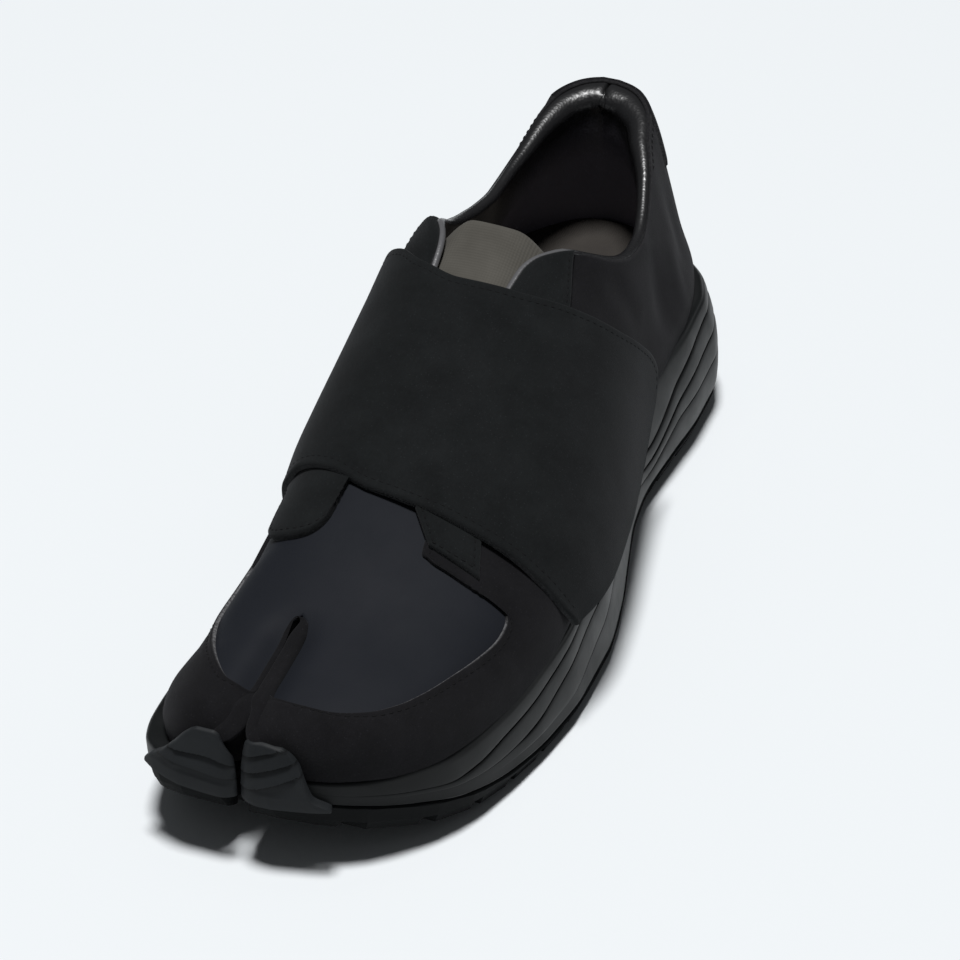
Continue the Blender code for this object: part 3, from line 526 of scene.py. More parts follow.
def rim_edges(rows, columns):
    """The edges round a grid of points."""
    rim = list(range(columns)) + [i * columns + columns - 1 for i in range(1, rows)]
    rim += [(rows - 1) * columns + j for j in range(columns - 2, -1, -1)]
    rim += [i * columns for i in range(rows - 2, 0, -1)]
    return list(zip(rim, rim[1:] + rim[:1]))


def sheet_faces(rows, columns):
    """Faces of two grids of points, the lower one listed first, closed round their rims."""
    size = rows * columns
    low = strip_faces(rows, columns)
    faces = low + [tuple(size + k for k in quad)[::-1] for quad in low]
    return faces + [(b, a, size + a, size + b) for a, b in rim_edges(rows, columns)]


def cleft_x(y):
    """Middle of the split."""
    share = (CLEFT_END - y) / (CLEFT_END - SOLE_FRONT)
    return CLEFT_X_END + (CLEFT_X_FRONT - CLEFT_X_END) * share


def cleft_half(y, half, front, corner):
    """Half the split's width, flaring round the inner corners of the toes."""
    into = np.clip((front + corner - y) / corner, 0, 1)
    return half + corner * (1 - np.sqrt(1 - into**2))


def cleft_outline(half, front, corner, end):
    """Plan outline of the split, with a round inner end."""
    turn = np.linspace(0, np.pi, 9)
    inner = [(cleft_x(end) + half * np.cos(a), end + half * np.sin(a)) for a in turn]
    straight = np.linspace(end - 12, front + corner, 3)
    flared = spread(front + corner, front, 6, 0)[1:]
    reach = np.concatenate([straight, flared, [front - 12]])
    medial = [(cleft_x(y) - cleft_half(y, half, front, corner), y) for y in reach]
    lateral = [(cleft_x(y) + cleft_half(y, half, front, corner), y) for y in reach[::-1]]
    return lateral + inner + medial


def plan_ring(table, stations, inset):
    """Outline seen from above: lateral side from toe to heel, then medial side back."""
    x = np.concatenate([along(table, "lateral", stations), along(table, "medial", stations)[::-1]])
    y = both_sides(stations)
    ring = np.stack([x, y], -1)
    tangent = np.roll(ring, -1, 0) - np.roll(ring, 1, 0)
    normal = unit(np.stack([tangent[:, 1], -tangent[:, 0]], -1))
    return ring - normal * np.broadcast_to(inset, len(ring))[:, None]


def both_sides(values):
    """The same value on both sides of each station, in the order of a ring."""
    return np.concatenate([values, values[::-1]])


def cap_faces(count, start, up=True):
    """Quads across a ring, between its lateral and medial points."""
    faces = []
    for i in range(count - 1):
        face = (start + i, start + i + 1, start + 2 * count - 2 - i, start + 2 * count - 1 - i)
        faces.append(face if up else face[::-1])
    return faces


def lift(ring, height):
    """A plan ring at given heights."""
    return np.column_stack([ring, height])


def rubber_top(y):
    """Height where the midsole meets the outsole."""
    return along(SOLE, "bottom", y) + along(SOLE, "rubber", y)


def superellipse(share, full):
    """Point on a quarter of a superellipse: out from the ridge, and up from the base."""
    corner = 2 ** (-1 / full)
    wall = share < 0.5
    up = np.where(wall, corner * share / 0.5, 0)
    out = np.where(wall, 0, corner * (1 - share) / 0.5)
    out = np.where(wall, np.maximum(1 - up**full, 0) ** (1 / full), out)
    up = np.where(wall, up, np.maximum(1 - out**full, 0) ** (1 / full))
    return out, up


def section(table, base, y, share, side):
    """x and z on a table's cross-section: share 0 at its base, 1 on its ridge."""
    ridge_x = along(table, "ridge_x", y)
    out, up = superellipse(share, along(table, "full_" + side, y))
    x = ridge_x + (along(table, side, y) - ridge_x) * out
    return x, base + (along(table, "ridge_z", y) - base) * up


def upper_point(y, share, side):
    """The upper's outer face: share 0 at the sole, 1 on the ridge; side is lateral or medial."""
    y, share = np.broadcast_arrays(np.asarray(y, float), np.asarray(share, float))
    base = along(SOLE, "top", y) + GAP
    x, z = section(UPPER, base, y, share, side)
    fade = ease((CLEFT_END + CLEFT_DIP_HALF - y) / CLEFT_DIP_FADE)
    dip = CLEFT_DIP * np.exp(-(((x - cleft_x(y)) / CLEFT_DIP_HALF) ** 2)) * fade
    z = z - dip * np.clip((z - base) / 8, 0, 1)
    lean = np.clip((z - HEEL_LEAN_FROM) / (HEEL_LEAN_TO - HEEL_LEAN_FROM), 0, 1.4)
    back = np.clip((y - HEEL_LEAN_START) / (HEEL_LEAN_FULL - HEEL_LEAN_START), 0, 1)
    return np.stack([x, y - HEEL_LEAN * lean**1.6 * back, z], -1)


def strap_point(y, share, side):
    """The strap's inner face."""
    y, share = np.broadcast_arrays(np.asarray(y, float), np.asarray(share, float))
    x, z = section(STRAP, along(STRAP, "base", y), y, share, side)
    return np.stack([x, y, z], -1)


def across(surface, y, u):
    """A surface read from its lateral edge, u = 0, over the ridge to its medial edge, u = 1."""
    y, u = np.broadcast_arrays(np.asarray(y, float), np.asarray(u, float))
    lateral = surface(y, np.minimum(2 * u, 1), "lateral")
    medial = surface(y, np.minimum(2 * (1 - u), 1), "medial")
    return np.where((u <= 0.5)[..., None], lateral, medial)


def outward(surface, y, u, step=0.4):
    """Unit normal of a surface that is read by across."""
    du = 0.004
    along_y = across(surface, y + step, u) - across(surface, y - step, u)
    along_u = across(surface, y, np.minimum(u + du, 1)) - across(surface, y, np.maximum(u - du, 0))
    return unit(np.cross(along_y, along_u))


def wall_thickness(y):
    """Thickness of the upper's wall, which grows towards the padded collar."""
    share = np.clip((y - COLLAR_PAD_FROM) / COLLAR_PAD_LENGTH, 0, 1)
    return WALL_TOE + (WALL_HEEL - WALL_TOE) * share


def share_at(y, x, side):
    """Where across the upper a given x lies."""
    ridge_x = along(UPPER, "ridge_x", y)
    full = along(UPPER, "full_" + side, y)
    out = np.clip((x - ridge_x) / (along(UPPER, side, y) - ridge_x), 0, 1)
    corner = 2 ** (-1 / full)
    up = (1 - out**full) ** (1 / full)
    return np.where(out < corner, 1 - 0.5 * out / corner, 0.5 * up / corner)


def toe_path(side, end):
    """Plan line round one toe's front, from inside the split outwards to the place where x is end."""
    sign = SIGN[side]
    inner_y = SOLE_FRONT + GUARD_TURN[side] * (1 - np.sin(np.linspace(GUARD_START, np.pi / 2, 7)))
    inner_x = cleft_x(inner_y) + sign * cleft_half(inner_y, GUARD_SPLIT[side], SOLE_FRONT, GUARD_TURN[side])
    outline_y = np.linspace(SOLE_FRONT, SOLE["rows"][3][0], 40)
    outline_x = along(SOLE, side, outline_y)
    outer_x = np.linspace(inner_x[-1], end, 7)[1:]
    outer_y = np.interp(sign * outer_x, sign * outline_x, outline_y)
    path = np.stack([np.append(inner_x, outer_x), np.append(inner_y, outer_y)], -1)
    tangent = np.gradient(path, axis=0)
    return path, sign * unit(np.stack([tangent[:, 1], -tangent[:, 0]], -1))


# Fine surfaces of the upper, read by y and by q, which is 0 at the sole and 1 at the upper's free edge

EDGE_STEPS = np.linspace(UPPER_FRONT, UPPER_BACK, 700)


def collar_line(y, side):
    """The collar's height, with the corners of its table rounded."""
    shifts = np.linspace(-COLLAR_SOFT, COLLAR_SOFT, 9)
    weights = 1.2 - np.abs(shifts) / COLLAR_SOFT
    levels = [weight * along(COLLAR, side, y + shift) for shift, weight in zip(shifts, weights)]
    return sum(levels) / weights.sum()


def collar_share(y, side):
    """Where up the wall the collar line crosses, by halving."""
    low, high = np.zeros(np.shape(y)), np.ones(np.shape(y))
    for _ in range(24):
        middle = (low + high) / 2
        place = upper_point(y, middle, side)
        above = place[..., 2] > collar_line(place[..., 1], side)
        high = np.where(above, middle, high)
        low = np.where(above, low, middle)
    return (low + high) / 2


def free_edge(side):
    """Share where the wall ends at each of the steps: at the split, ridge, throat or collar."""
    y = EDGE_STEPS
    inner = np.clip((y - CLEFT_END) / CLEFT_HALF, 0, 1)
    half = cleft_half(y, CLEFT_HALF, UPPER_FRONT, TOE_CORNER) * np.sqrt(1 - inner**2)
    split = share_at(y, cleft_x(y) + SIGN[side] * half, side)
    into = np.clip((y - THROAT["rows"][0][0]) / THROAT_EASE, 0, 1)
    throat = 1 + (share_at(y, along(THROAT, side, y), side) - 1) * into
    edge = np.where(y < CLEFT_END + CLEFT_HALF, split, throat)
    edge = np.where(y > THROAT["rows"][-1][0], 1, edge)
    edge = np.minimum(edge, collar_share(y, side))
    reach = int(EDGE_SOFT / (y[1] - y[0]))
    kernel = np.concatenate([np.arange(1, reach + 1), np.arange(reach - 1, 0, -1)]) / reach**2
    soft = np.convolve(np.pad(edge, reach - 1, mode="edge"), kernel, mode="valid")
    near = np.clip(1.6 - np.abs(y - EDGE_SOFT_AT) / 10, 0, 1)
    return edge + (soft - edge) * near


FREE_EDGE = {side: free_edge(side) for side in SIDES}


def edge_share(y, side):
    """Share where the wall ends, at any y."""
    return np.interp(y, EDGE_STEPS, FREE_EDGE[side])


def crease_depth(y, share, side):
    """Soft troughs and ridges of the worn leather, placed one by one."""
    depth = np.zeros(np.shape(y))
    for where, y0, s0, y1, s1, deep, wide in CREASES:
        if where != side:
            continue
        run = np.array([y1 - y0, (s1 - s0) * SHARE_MM])
        away = np.stack([y - y0, (share - s0) * SHARE_MM], -1)
        t = np.clip(away @ run / (run @ run), 0, 1)
        gap = np.linalg.norm(away - t[..., None] * run, axis=-1)
        depth = depth + deep * np.exp(-((gap / wide) ** 2)) * np.sin(np.pi * np.clip(t, 0.06, 0.94))
    return depth


def skin_point(y, q, side):
    """The skin without its creases."""
    return upper_point(y, q * edge_share(y, side), side)


def skin_normal(y, q, side):
    """Outward unit normal of the upper's skin."""
    step, reach = 0.4, 0.008
    ahead, behind = np.minimum(y + step, UPPER_BACK), np.maximum(y - step, UPPER_FRONT)
    along_y = skin_point(ahead, q, side) - skin_point(behind, q, side)
    along_q = skin_point(y, np.minimum(q + reach, 1), side) - skin_point(y, np.maximum(q - reach, 0), side)
    return SIGN[side] * unit(np.cross(along_y, along_q))


def skin(y, q, side, lift_by=0.0):
    """Points and normals of the skin with its creases, raised by a distance."""
    y, q = np.broadcast_arrays(np.asarray(y, float), np.asarray(q, float))
    normal = skin_normal(y, q, side)
    dent = crease_depth(y, q * edge_share(y, side), side)
    return skin_point(y, q, side) + normal * (lift_by - dent)[..., None], normal


# Mesh making


def new_object(name, points, faces, marks=None, weld=0.0):
    """A mesh in the scene, with its faces turned outwards; marks are values per point."""
    places = (np.asarray(points, float).reshape(-1, 3) - (CENTRE_X, CENTRE_Y, 0)) * MM
    mesh = bpy.data.meshes.new(name)
    mesh.from_pydata(places.tolist(), [], [tuple(int(k) for k in face) for face in faces])
    for key, values in (marks or {}).items():
        layer = mesh.attributes.new(key, "FLOAT", "POINT")
        layer.data.foreach_set("value", np.asarray(values, np.float32).ravel())
    shape = bmesh.new()
    shape.from_mesh(mesh)
    if weld:
        bmesh.ops.remove_doubles(shape, verts=shape.verts, dist=weld * MM)
    bmesh.ops.recalc_face_normals(shape, faces=shape.faces)
    shape.to_mesh(mesh)
    shape.free()
    obj = bpy.data.objects.new(name, mesh)
    bpy.context.scene.collection.objects.link(obj)
    return obj


def make_piece(name, points, faces, material, nodes=(), marks=None, weld=0.0, sharp=60):
    """A mesh piece that rides on the shoe, with marks that its material reads."""
    obj = new_object(name, points, faces, marks, weld)
    obj.data.materials.append(material)
    smooth(obj, sharp)
    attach(obj, "root")
    if nodes:
        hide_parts(*nodes)
    return obj


def smooth(obj, sharp):
    """Smooth shading, with creases kept above an angle in degrees."""
    obj.data.shade_smooth()
    obj.data.set_sharp_from_angle(angle=np.radians(sharp))


def thicken(obj, wall):
    """Give a skin its thickness, inwards."""
    modifier = obj.modifiers.new("wall", "SOLIDIFY")
    modifier.thickness = wall * MM
    modifier.offset = -1
    modifier.use_even_offset = False


def cut_away(obj, outline, sharp):
    """Take an upright prism with a plan outline out of a piece, for good."""
    n = len(outline)
    points = [(x, y, level) for level in (CUT_LOW, CUT_HIGH) for x, y in outline]
    ends = [tuple(range(n - 1, -1, -1)), tuple(range(n, 2 * n))]
    cutter = new_object("cutter", points, ends + strip_faces(2, n, closed=True))
    boolean = obj.modifiers.new("cut", "BOOLEAN")
    boolean.operation = "DIFFERENCE"
    boolean.solver = "EXACT"
    boolean.object = cutter
    graph = bpy.context.evaluated_depsgraph_get()
    result = bpy.data.meshes.new_from_object(obj.evaluated_get(graph))
    obj.modifiers.clear()
    obj.data = result
    smooth(obj, sharp)
    bpy.data.objects.remove(cutter, do_unlink=True)


def rim_distances(face):
    """Distance of every grid point from each of the grid's four rims, along the grid lines."""
    down = np.linalg.norm(np.diff(face, axis=0), axis=-1).cumsum(0)
    down = np.concatenate([np.zeros((1, face.shape[1])), down])
    side = np.linalg.norm(np.diff(face, axis=1), axis=-1).cumsum(1)
    side = np.concatenate([np.zeros((face.shape[0], 1)), side], 1)
    return {"first": down, "last": down[-1:] - down, "low": side, "high": side[:, -1:] - side}


def sheet_piece(name, face, normal, thick, rims, material, nodes=(), stitch=None, sink=0.35):
    """A sheet laid on a grid: its upper side rounds down at the rims, given with how pale each cut is.

    stitch gives the distance of a sewn channel from each rim that has one. Returns the upper side.
    """
    away = rim_distances(face)
    near = np.full(face.shape[:2], 1e3)
    pale_edge = np.zeros(face.shape[:2])
    for rim, pale in rims.items():
        near = np.minimum(near, away[rim])
        pale_edge = np.maximum(pale_edge, np.exp(-((away[rim] / RAW_EDGE) ** 4)) * pale)
    height = thick * rounded(near, EDGE_ROUND * thick)
    for rim, inset in (stitch or {}).items():
        height = height - CHANNEL_SINK * np.exp(-(((away[rim] - inset) / CHANNEL_HALF) ** 2))
    upper = face + normal * height[..., None]
    lower = face - normal * sink
    marks = {"pale_edge": np.concatenate([0 * pale_edge.ravel(), pale_edge.ravel()])}
    points = np.concatenate([lower.reshape(-1, 3), upper.reshape(-1, 3)])
    make_piece(name, points, sheet_faces(*face.shape[:2]), material, nodes, marks)
    return upper


def rim_spread(count, length, rim=(0, 0.12, 0.35, 0.7, 1.2, 1.9)):
    """Shares from 0 to 1 over a length, with the rims' close spacing at both ends."""
    ends = np.array(rim) / length
    inner = np.linspace(ends[-1], 1 - ends[-1], count)
    return np.concatenate([ends[:-1], inner, 1 - ends[-2::-1]])


def smooth_curve(points, count):
    """A curve through given points, evenly spaced along it."""
    points = np.asarray(points, float)
    ends = np.concatenate([[2 * points[0] - points[1]], points, [2 * points[-1] - points[-2]]])
    t = np.linspace(0, 1, 16, endpoint=False)[:, None]
    runs = []
    for a, b, c, d in zip(ends, ends[1:], ends[2:], ends[3:]):
        runs.append(0.5 * (2 * b + (c - a) * t + (2 * a - 5 * b + 4 * c - d) * t**2
                           + (3 * b - a - 3 * c + d) * t**3))
    fine = np.concatenate(runs + [points[-1:]])
    gaps = np.linalg.norm(np.diff(fine * CURVE_WEIGHT, axis=0), axis=1)
    reach = np.concatenate([[0], gaps.cumsum()])
    at = np.linspace(0, reach[-1], count)
    return np.stack([np.interp(at, reach, column) for column in fine.T], -1)


STITCHES = []


def line_at(upper, away, inset):
    """The line on a sheet's upper side at a distance from a rim that runs along its rows."""
    line = []
    for points, distance in zip(upper, away):
        order = np.argsort(distance)
        line.append([np.interp(inset, distance[order], points[order, k]) for k in range(3)])
    return np.array(line)


def sew(line, outward_to, pitch=2.4, length=1.6, radius=0.22):
    """Stitches along a line of points; outward_to gives the surface's side."""
    gaps = np.linalg.norm(np.diff(line, axis=0), axis=1)
    reach = np.concatenate([[0], gaps.cumsum()])
    for start in np.arange(pitch / 2, reach[-1] - length, pitch):
        ends = [[np.interp(start + d, reach, line[:, k]) for k in range(3)] for d in (0, length)]
        normal = [np.interp(start, reach, outward_to[:, k]) for k in range(3)]
        STITCHES.append((np.array(ends[0]), np.array(ends[1]), np.array(normal), radius))


def build_stitches(material):
    """All the stitches as one mesh of small capsules that dip at both ends."""
    along_thread = np.array([0.0, 0.12, 0.35, 0.65, 0.88, 1.0])
    girth = np.array([0.25, 0.8, 1.0, 1.0, 0.8, 0.25])
    rise = np.array([-0.7, -0.1, 0.25, 0.25, -0.1, -0.7])
    turn = np.linspace(0, 2 * np.pi, 6, endpoint=False)
    points, faces = [], []
    for first, last, normal, radius in STITCHES:
        run = last - first
        up = unit(normal)
        aside = unit(np.cross(run, up))
        start = len(points)
        for t, g, h in zip(along_thread, girth, rise):
            centre = first + run * t + up * h * radius
            points += [centre + radius * g * (np.cos(a) * aside + np.sin(a) * up) for a in turn]
        faces += strip_faces(len(girth), len(turn), start, closed=True)
        faces.append(tuple(range(start, start + len(turn))))
        end = start + len(turn) * (len(girth) - 1)
        faces.append(tuple(range(end + len(turn) - 1, end - 1, -1)))
    make_piece("stitches", points, faces, material)


# Pieces of the upper


def ruled(first, second, shares):
    """Grid of places between two curves of equal length."""
    return first[:, None] + (second - first)[:, None] * np.asarray(shares)[None, :, None]


def to_edge(curve, side):
    """Turn places of y and share into places of y and q."""
    return np.stack([curve[:, 0], np.clip(curve[:, 1] / edge_share(curve[:, 0], side), 0, 1)], -1)


def build_vamp(material):
    """Forepart of the upper's outer leather, both sides joined on the ridge."""
    y, q = np.meshgrid(spread(UPPER_FRONT, VAMP_END, 130, 0.6), np.linspace(0, 1, 60), indexing="ij")
    sides = [skin(y, q, side)[0] for side in SIDES]
    faces = strip_faces(*y.shape) + strip_faces(*y.shape, start=y.size)
    vamp = make_piece("vamp", np.concatenate([s.reshape(-1, 3) for s in sides]), faces, material,
                      ["upper"], weld=0.02)
    thicken(vamp, OUTER_LEATHER)


def heel_stations(count, heel_count):
    """Places from under the strap to the back, closer together round the heel."""
    heel = spread(HEEL_FINE, UPPER_BACK, heel_count, 0.3)
    return np.concatenate([np.linspace(VAMP_END, HEEL_FINE, count), heel[1:]])


def round_the_heel(stations, columns):
    """Skin from the lateral side round the heel to the medial side: places, normals and y of each row."""
    y, q = np.meshgrid(stations, columns, indexing="ij")
    lateral, lateral_normal = skin(y, q, "lateral")
    medial, medial_normal = skin(y, q, "medial")
    t = np.linspace(0, 1, BACK_COLUMNS + 2)[1:-1, None, None]
    back = lateral[-1] + (medial[-1] - lateral[-1]) * t
    back_normal = unit(lateral_normal[-1] + (medial_normal[-1] - lateral_normal[-1]) * t)
    face = np.concatenate([lateral, back, medial[::-1]])
    normal = np.concatenate([lateral_normal, back_normal, medial_normal[::-1]])
    return face, normal, np.concatenate([stations, np.full(BACK_COLUMNS, stations[-1]), stations[::-1]])


def build_quarter(material):
    """Rear of the upper's outer suede, round the heel, with a stitch row below the collar."""
    shares = np.linspace(0, 1, 64)
    face, normal, y = round_the_heel(heel_stations(90, 60), shares)
    above = np.maximum(face[:, :1, 2] - along(SOLE, "top", face[:, :1, 1]), 0)
    face[..., 2] -= (above + FOOT_TUCK) * np.clip(1 - shares / FOOT_TUCK_REACH, 0, 1) ** 2
    pale_edge = np.zeros(face.shape[:2])
    pale_edge[:, -2:] = np.where(y < LOBE_END, THROAT_RAW, COLLAR_RAW)[:, None]
    quarter = make_piece("quarter", face, strip_faces(*face.shape[:2]), material, ["upper"],
                         {"pale_edge": pale_edge})
    thicken(quarter, OUTER_LEATHER)
    away = rim_distances(face)["high"]
    heel = slice(COLLAR_SEAM_SKIP, -COLLAR_SEAM_SKIP)
    sew(line_at(face, away, COLLAR_SEAM)[heel], normal[heel, -4])


def build_lining(material):
    """Lining leather: a padded roll over the free edge, then the inside of the wall down to the insole."""
    stations = heel_stations(80, 56)
    edge, normal, y = round_the_heel(stations, np.array([0.985, 1.0]))
    along_up = unit(edge[:, 1] - edge[:, 0])
    out = normal[:, 1]
    lateral = np.arange(len(y)) < len(stations)
    ending = ease((LOBE_END + LOBE_FADE / 2 - y) / LOBE_FADE)
    grown = lobe_growth(y) * np.where(lateral, LOBE_SWELL["lateral"], LOBE_SWELL["medial"])
    on_lobe = LOBE_ROLL * ending * (SUEDE * (y > SWELL_FROM) + grown)
    radius = along(ROLL, "radius", y)
    tall = along(ROLL, "tall", y)[:, None]
    set_in = (radius + ROLL_INSET - on_lobe)[:, None]
    centre = edge[:, 1] - out * set_in - along_up * along(ROLL, "down", y)[:, None]
    rows = []
    for angle in np.radians(np.linspace(*ROLL_TURN)):
        rows.append(centre + (out * np.cos(angle) + along_up * np.sin(angle) * tall) * radius[:, None])
    inner, inner_normal, _ = round_the_heel(stations, np.linspace(*LINING_SHARES))
    below = np.linalg.norm(inner - edge[:, 1:], axis=-1)
    wall = np.minimum((2 * radius + ROLL_INSET)[:, None], LINING_DEEPEST)
    collar = np.clip((y - PAD_FROM) / PAD_EASE, 0, 1)[:, None]
    pad = COLLAR_SWELL * np.exp(-(((below - PAD_BELOW) / PAD_HALF) ** 2)) * collar
    inside = inner - inner_normal * (wall + pad)[..., None]
    back = np.flatnonzero(y > LINING_BACK)
    for _ in range(LINING_PASSES):
        inside[back] = (inside[back - 1] + 2 * inside[back] + inside[back + 1]) / 4
    face = np.concatenate([np.stack(rows, 1), inside], 1)
    seam = np.exp(-((face[..., 0] - HEEL_SEAM_X) / SEAM_HALF) ** 2) * (face[..., 1] > HEEL_FINE)
    column = np.arange(face.shape[1]) + np.zeros(face.shape[:2])
    seam = seam * np.clip((len(rows) - 4 - column) / 3, 0, 1)
    face[..., 2] -= SEAM_NOTCH * seam
    throat = np.clip((LOBE_END + 1 - y) / 2, 0, 1)[:, None]
    painted_light_ramp = np.clip((y - LINING_PALE_FROM) / LINING_PALE_EASE, 0, 1)[:, None]
    marks = {
        # the inside's paler tone is painted light, for light that doesn't reach into the heel
        "inside": np.clip((column - len(rows)) / LINING_RAMP, 0, 1) * painted_light_ramp,
        # painted shade in the back seam's notch
        "painted_shade": seam,
        # painted highlight along the roll's crest in the throat
        "pale_edge": throat * (column > 3) * (column < len(rows) - 3),
    }
    lining = make_piece("collar_lining", face, strip_faces(*face.shape[:2]), material,
                        ["upper"], marks)
    thicken(lining, LINING_LEATHER)


def build_slit(material):
    """Suede turned down into the split: a lateral fold that leans over it, a slim one opposite."""
    y = spread(UPPER_FRONT + 0.3, CLEFT_END + CLEFT_HALF - 0.02, 70, 0.7)
    profile = np.linspace(0, 1, 13)
    bulge = np.sqrt(np.clip(1 - (2 * profile - 1) ** 2, 0, 1))
    shut = ease(np.interp(y, *zip(*FOLD_SHUT)))
    guard = np.clip((FOLD_TOE - y) / FOLD_EASE, 0, 1)
    inner = np.clip((CLEFT_END + CLEFT_HALF - y) / FOLD_END, FOLD_END_LEAST, 1) ** 0.5
    sections = []
    for side, order in (("medial", 1), ("lateral", -1)):
        toe = np.clip((FOLD_TOE_ROLL - y) / FOLD_EASE, 0, 1) if side == "medial" else 0 * y
        width = (FOLD_WIDE[side] + guard + FOLD_TOE_WIDE * toe) * inner
        tall = (FOLD_TALL[side] + FOLD_OVER_GUARD * guard + FOLD_TOE_TALL * toe) * inner
        edge_x = skin_point(y, np.ones_like(y), side)[:, 0]
        outer = share_at(y, edge_x + SIGN[side] * width, side) / edge_share(y, side)
        lean = shut * (2 * CLEFT_HALF - FOLD_SLOT) if side == "lateral" else -FOLD_TOE_LEAN * toe
        columns = []
        for t, h in zip(profile, bulge):
            on_skin = np.minimum(t / FOLD_ON_SKIN, 1)
            place, normal = skin(y, outer + (1 - outer) * on_skin, side)
            place = place + normal * (tall * h - FOLD_SINK * (t == 0))[:, None]
            place[:, 0] -= lean * np.clip((t - FOLD_LEAN_FROM) / (1 - FOLD_LEAN_FROM), 0, 1)
            columns.append(place)
        edge = columns[-1]
        floor = along(SOLE, "top", y) + GAP
        for t in np.linspace(0.06, 1, 9):
            down = edge.copy()
            down[:, 2] = edge[:, 2] + (floor - edge[:, 2]) * t
            columns.append(down)
        sections.append(np.stack(columns, 1)[::order])
    face = np.concatenate(sections)
    slit = make_piece("slit_fold", face, strip_faces(*face.shape[:2]), material,
                      marks={"pale_edge": np.zeros(face.shape[:2])})
    thicken(slit, FOLD_LEATHER)


def build_mudguard(side, material):
    """Suede round one toe and along the forefoot, up to the edge of the vamp panel."""
    count = 190
    edge = to_edge(smooth_curve(PANEL_EDGE[side], count), side)
    front = int(count * FRONT_ROWS)
    lip = np.full(front, UPPER_FRONT + 0.2)
    base_y = np.concatenate([lip, np.linspace(UPPER_FRONT + 0.2, MUDGUARD_END, count - front)])
    base_q = np.concatenate([np.linspace(1, 0.01, front), np.full(count - front, 0.01)])
    base = np.stack([base_y, base_q], -1)
    grid = ruled(base, edge, rim_spread(34, 32))
    face, normal = skin(grid[..., 0], grid[..., 1], side, OVERLAY_LIFT)
    pale = np.clip((PANEL_CORNER - edge[:, :1]) / 2, 0, 1)
    name = "mudguard_" + side
    upper = sheet_piece(name + "_suede", face, normal, SUEDE, {"high": pale}, material, [name],
                        {"high": SEAM_INSET})
    away = rim_distances(face)["high"]
    start = front // 2
    sew(line_at(upper, away, SEAM_INSET)[start:], normal[start:, -SEAM_ROW])


def lobe_growth(y):
    """How far the padding of the lobes has come up, from under the strap to the collar."""
    return ease((y - SWELL_FROM) / SWELL_LENGTH)


def build_overlay(name, side, curves, thick, rims, material, seams, lift_by=OVERLAY_LIFT, swell=0.0):
    """Suede on one overlay node, between two curves of y and share, with stitch rows beside some rims.

    swell is how much thicker a padded overlay grows towards the collar.
    """
    count = 70
    first, second = [to_edge(smooth_curve(curve, count), side) for curve in curves]
    grid = ruled(first, second, rim_spread(26, 24))
    rows = rim_spread(count - 10, 28) * (count - 1)
    at = np.arange(count)
    lines = [[np.interp(rows, at, grid[:, j, k]) for k in (0, 1)] for j in range(grid.shape[1])]
    grid = np.array(lines).transpose(2, 0, 1)
    face, normal = skin(grid[..., 0], grid[..., 1], side, lift_by)
    thick = thick + swell * lobe_growth(grid[..., 0])
    upper = sheet_piece(name + "_suede", face, normal, thick, rims, material, [name],
                        {rim: SEAM_INSET for rim in seams})
    away = rim_distances(face)
    for rim in seams:
        if rim == "low":
            sew(line_at(upper, away[rim], SEAM_INSET), normal[:, SEAM_ROW])
        else:
            row = SEAM_ROW if rim == "first" else -SEAM_ROW - 1
            sew(line_at(upper.transpose(1, 0, 2), away[rim].T, SEAM_INSET), normal[row])


def build_heel_patch(material):
    """Patch over the back of the heel, from the collar down."""
    count = 26
    shares = rim_spread(22, 22)
    halves = []
    s = np.linspace(0, 1, count)
    for side in SIDES:
        grid = []
        for share in shares:
            start = np.interp(share, np.linspace(0, 1, len(HEEL_PATCH_FRONT)), HEEL_PATCH_FRONT)
            level = HEEL_PATCH_LOW + (1 - HEEL_PATCH_LOW) * share
            grid.append(np.stack([start + (UPPER_BACK - start) * s, np.full(count, level)], -1))
        grid = np.stack(grid, 1)
        halves.append(skin(grid[..., 0], grid[..., 1], side, OVERLAY_LIFT))
    face = np.concatenate([halves[0][0], halves[1][0][::-1]])
    normal = np.concatenate([halves[0][1], halves[1][1][::-1]])
    rims = {"first": 0.3, "last": 0.3, "low": FAINT}
    sheet_piece("heel_patch", face, normal, HEEL_PATCH_THICK, rims, material)


def build_strap(material):
    """The wide strap: one sheet of suede with cut edges and a stitch row along both."""
    u = np.concatenate([np.linspace(0, 0.1, 20), np.linspace(0.1, 1, 110)[1:]])
    u, v = np.meshgrid(u, rim_spread(52, 95), indexing="ij")
    front = along(STRAP_EDGES, "front", u)
    y = front + (along(STRAP_EDGES, "rear", u) - front) * v
    normal = outward(strap_point, y, u)
    wave = sum(deep * np.sin(k_u * u + k_v * v + start) for deep, k_u, k_v, start in STRAP_WAVES)
    hug = np.interp(u, *zip(*STRAP_HUG)) * np.exp(-(((y - front) / STRAP_HUG_REACH) ** 2))
    hug = hug + STRAP_TUCK * ease((u - STRAP_TUCK_FROM) / (1 - STRAP_TUCK_FROM))
    face = across(strap_point, y, u) + normal * (wave - hug)[..., None]
    rims = {"low": 0.15, "high": PALE}
    upper = sheet_piece("strap_suede", face, normal, STRAP_SHEET, rims, material, ["strap"],
                        {"low": STRAP_SEAM, "high": STRAP_SEAM}, sink=0.0)
    away = rim_distances(face)
    sewn = slice(10, -6)      # the stitch rows stop short of both ends
    for rim in rims:
        sew(line_at(upper, away[rim], STRAP_SEAM)[sewn], normal[sewn, 30], radius=0.14)


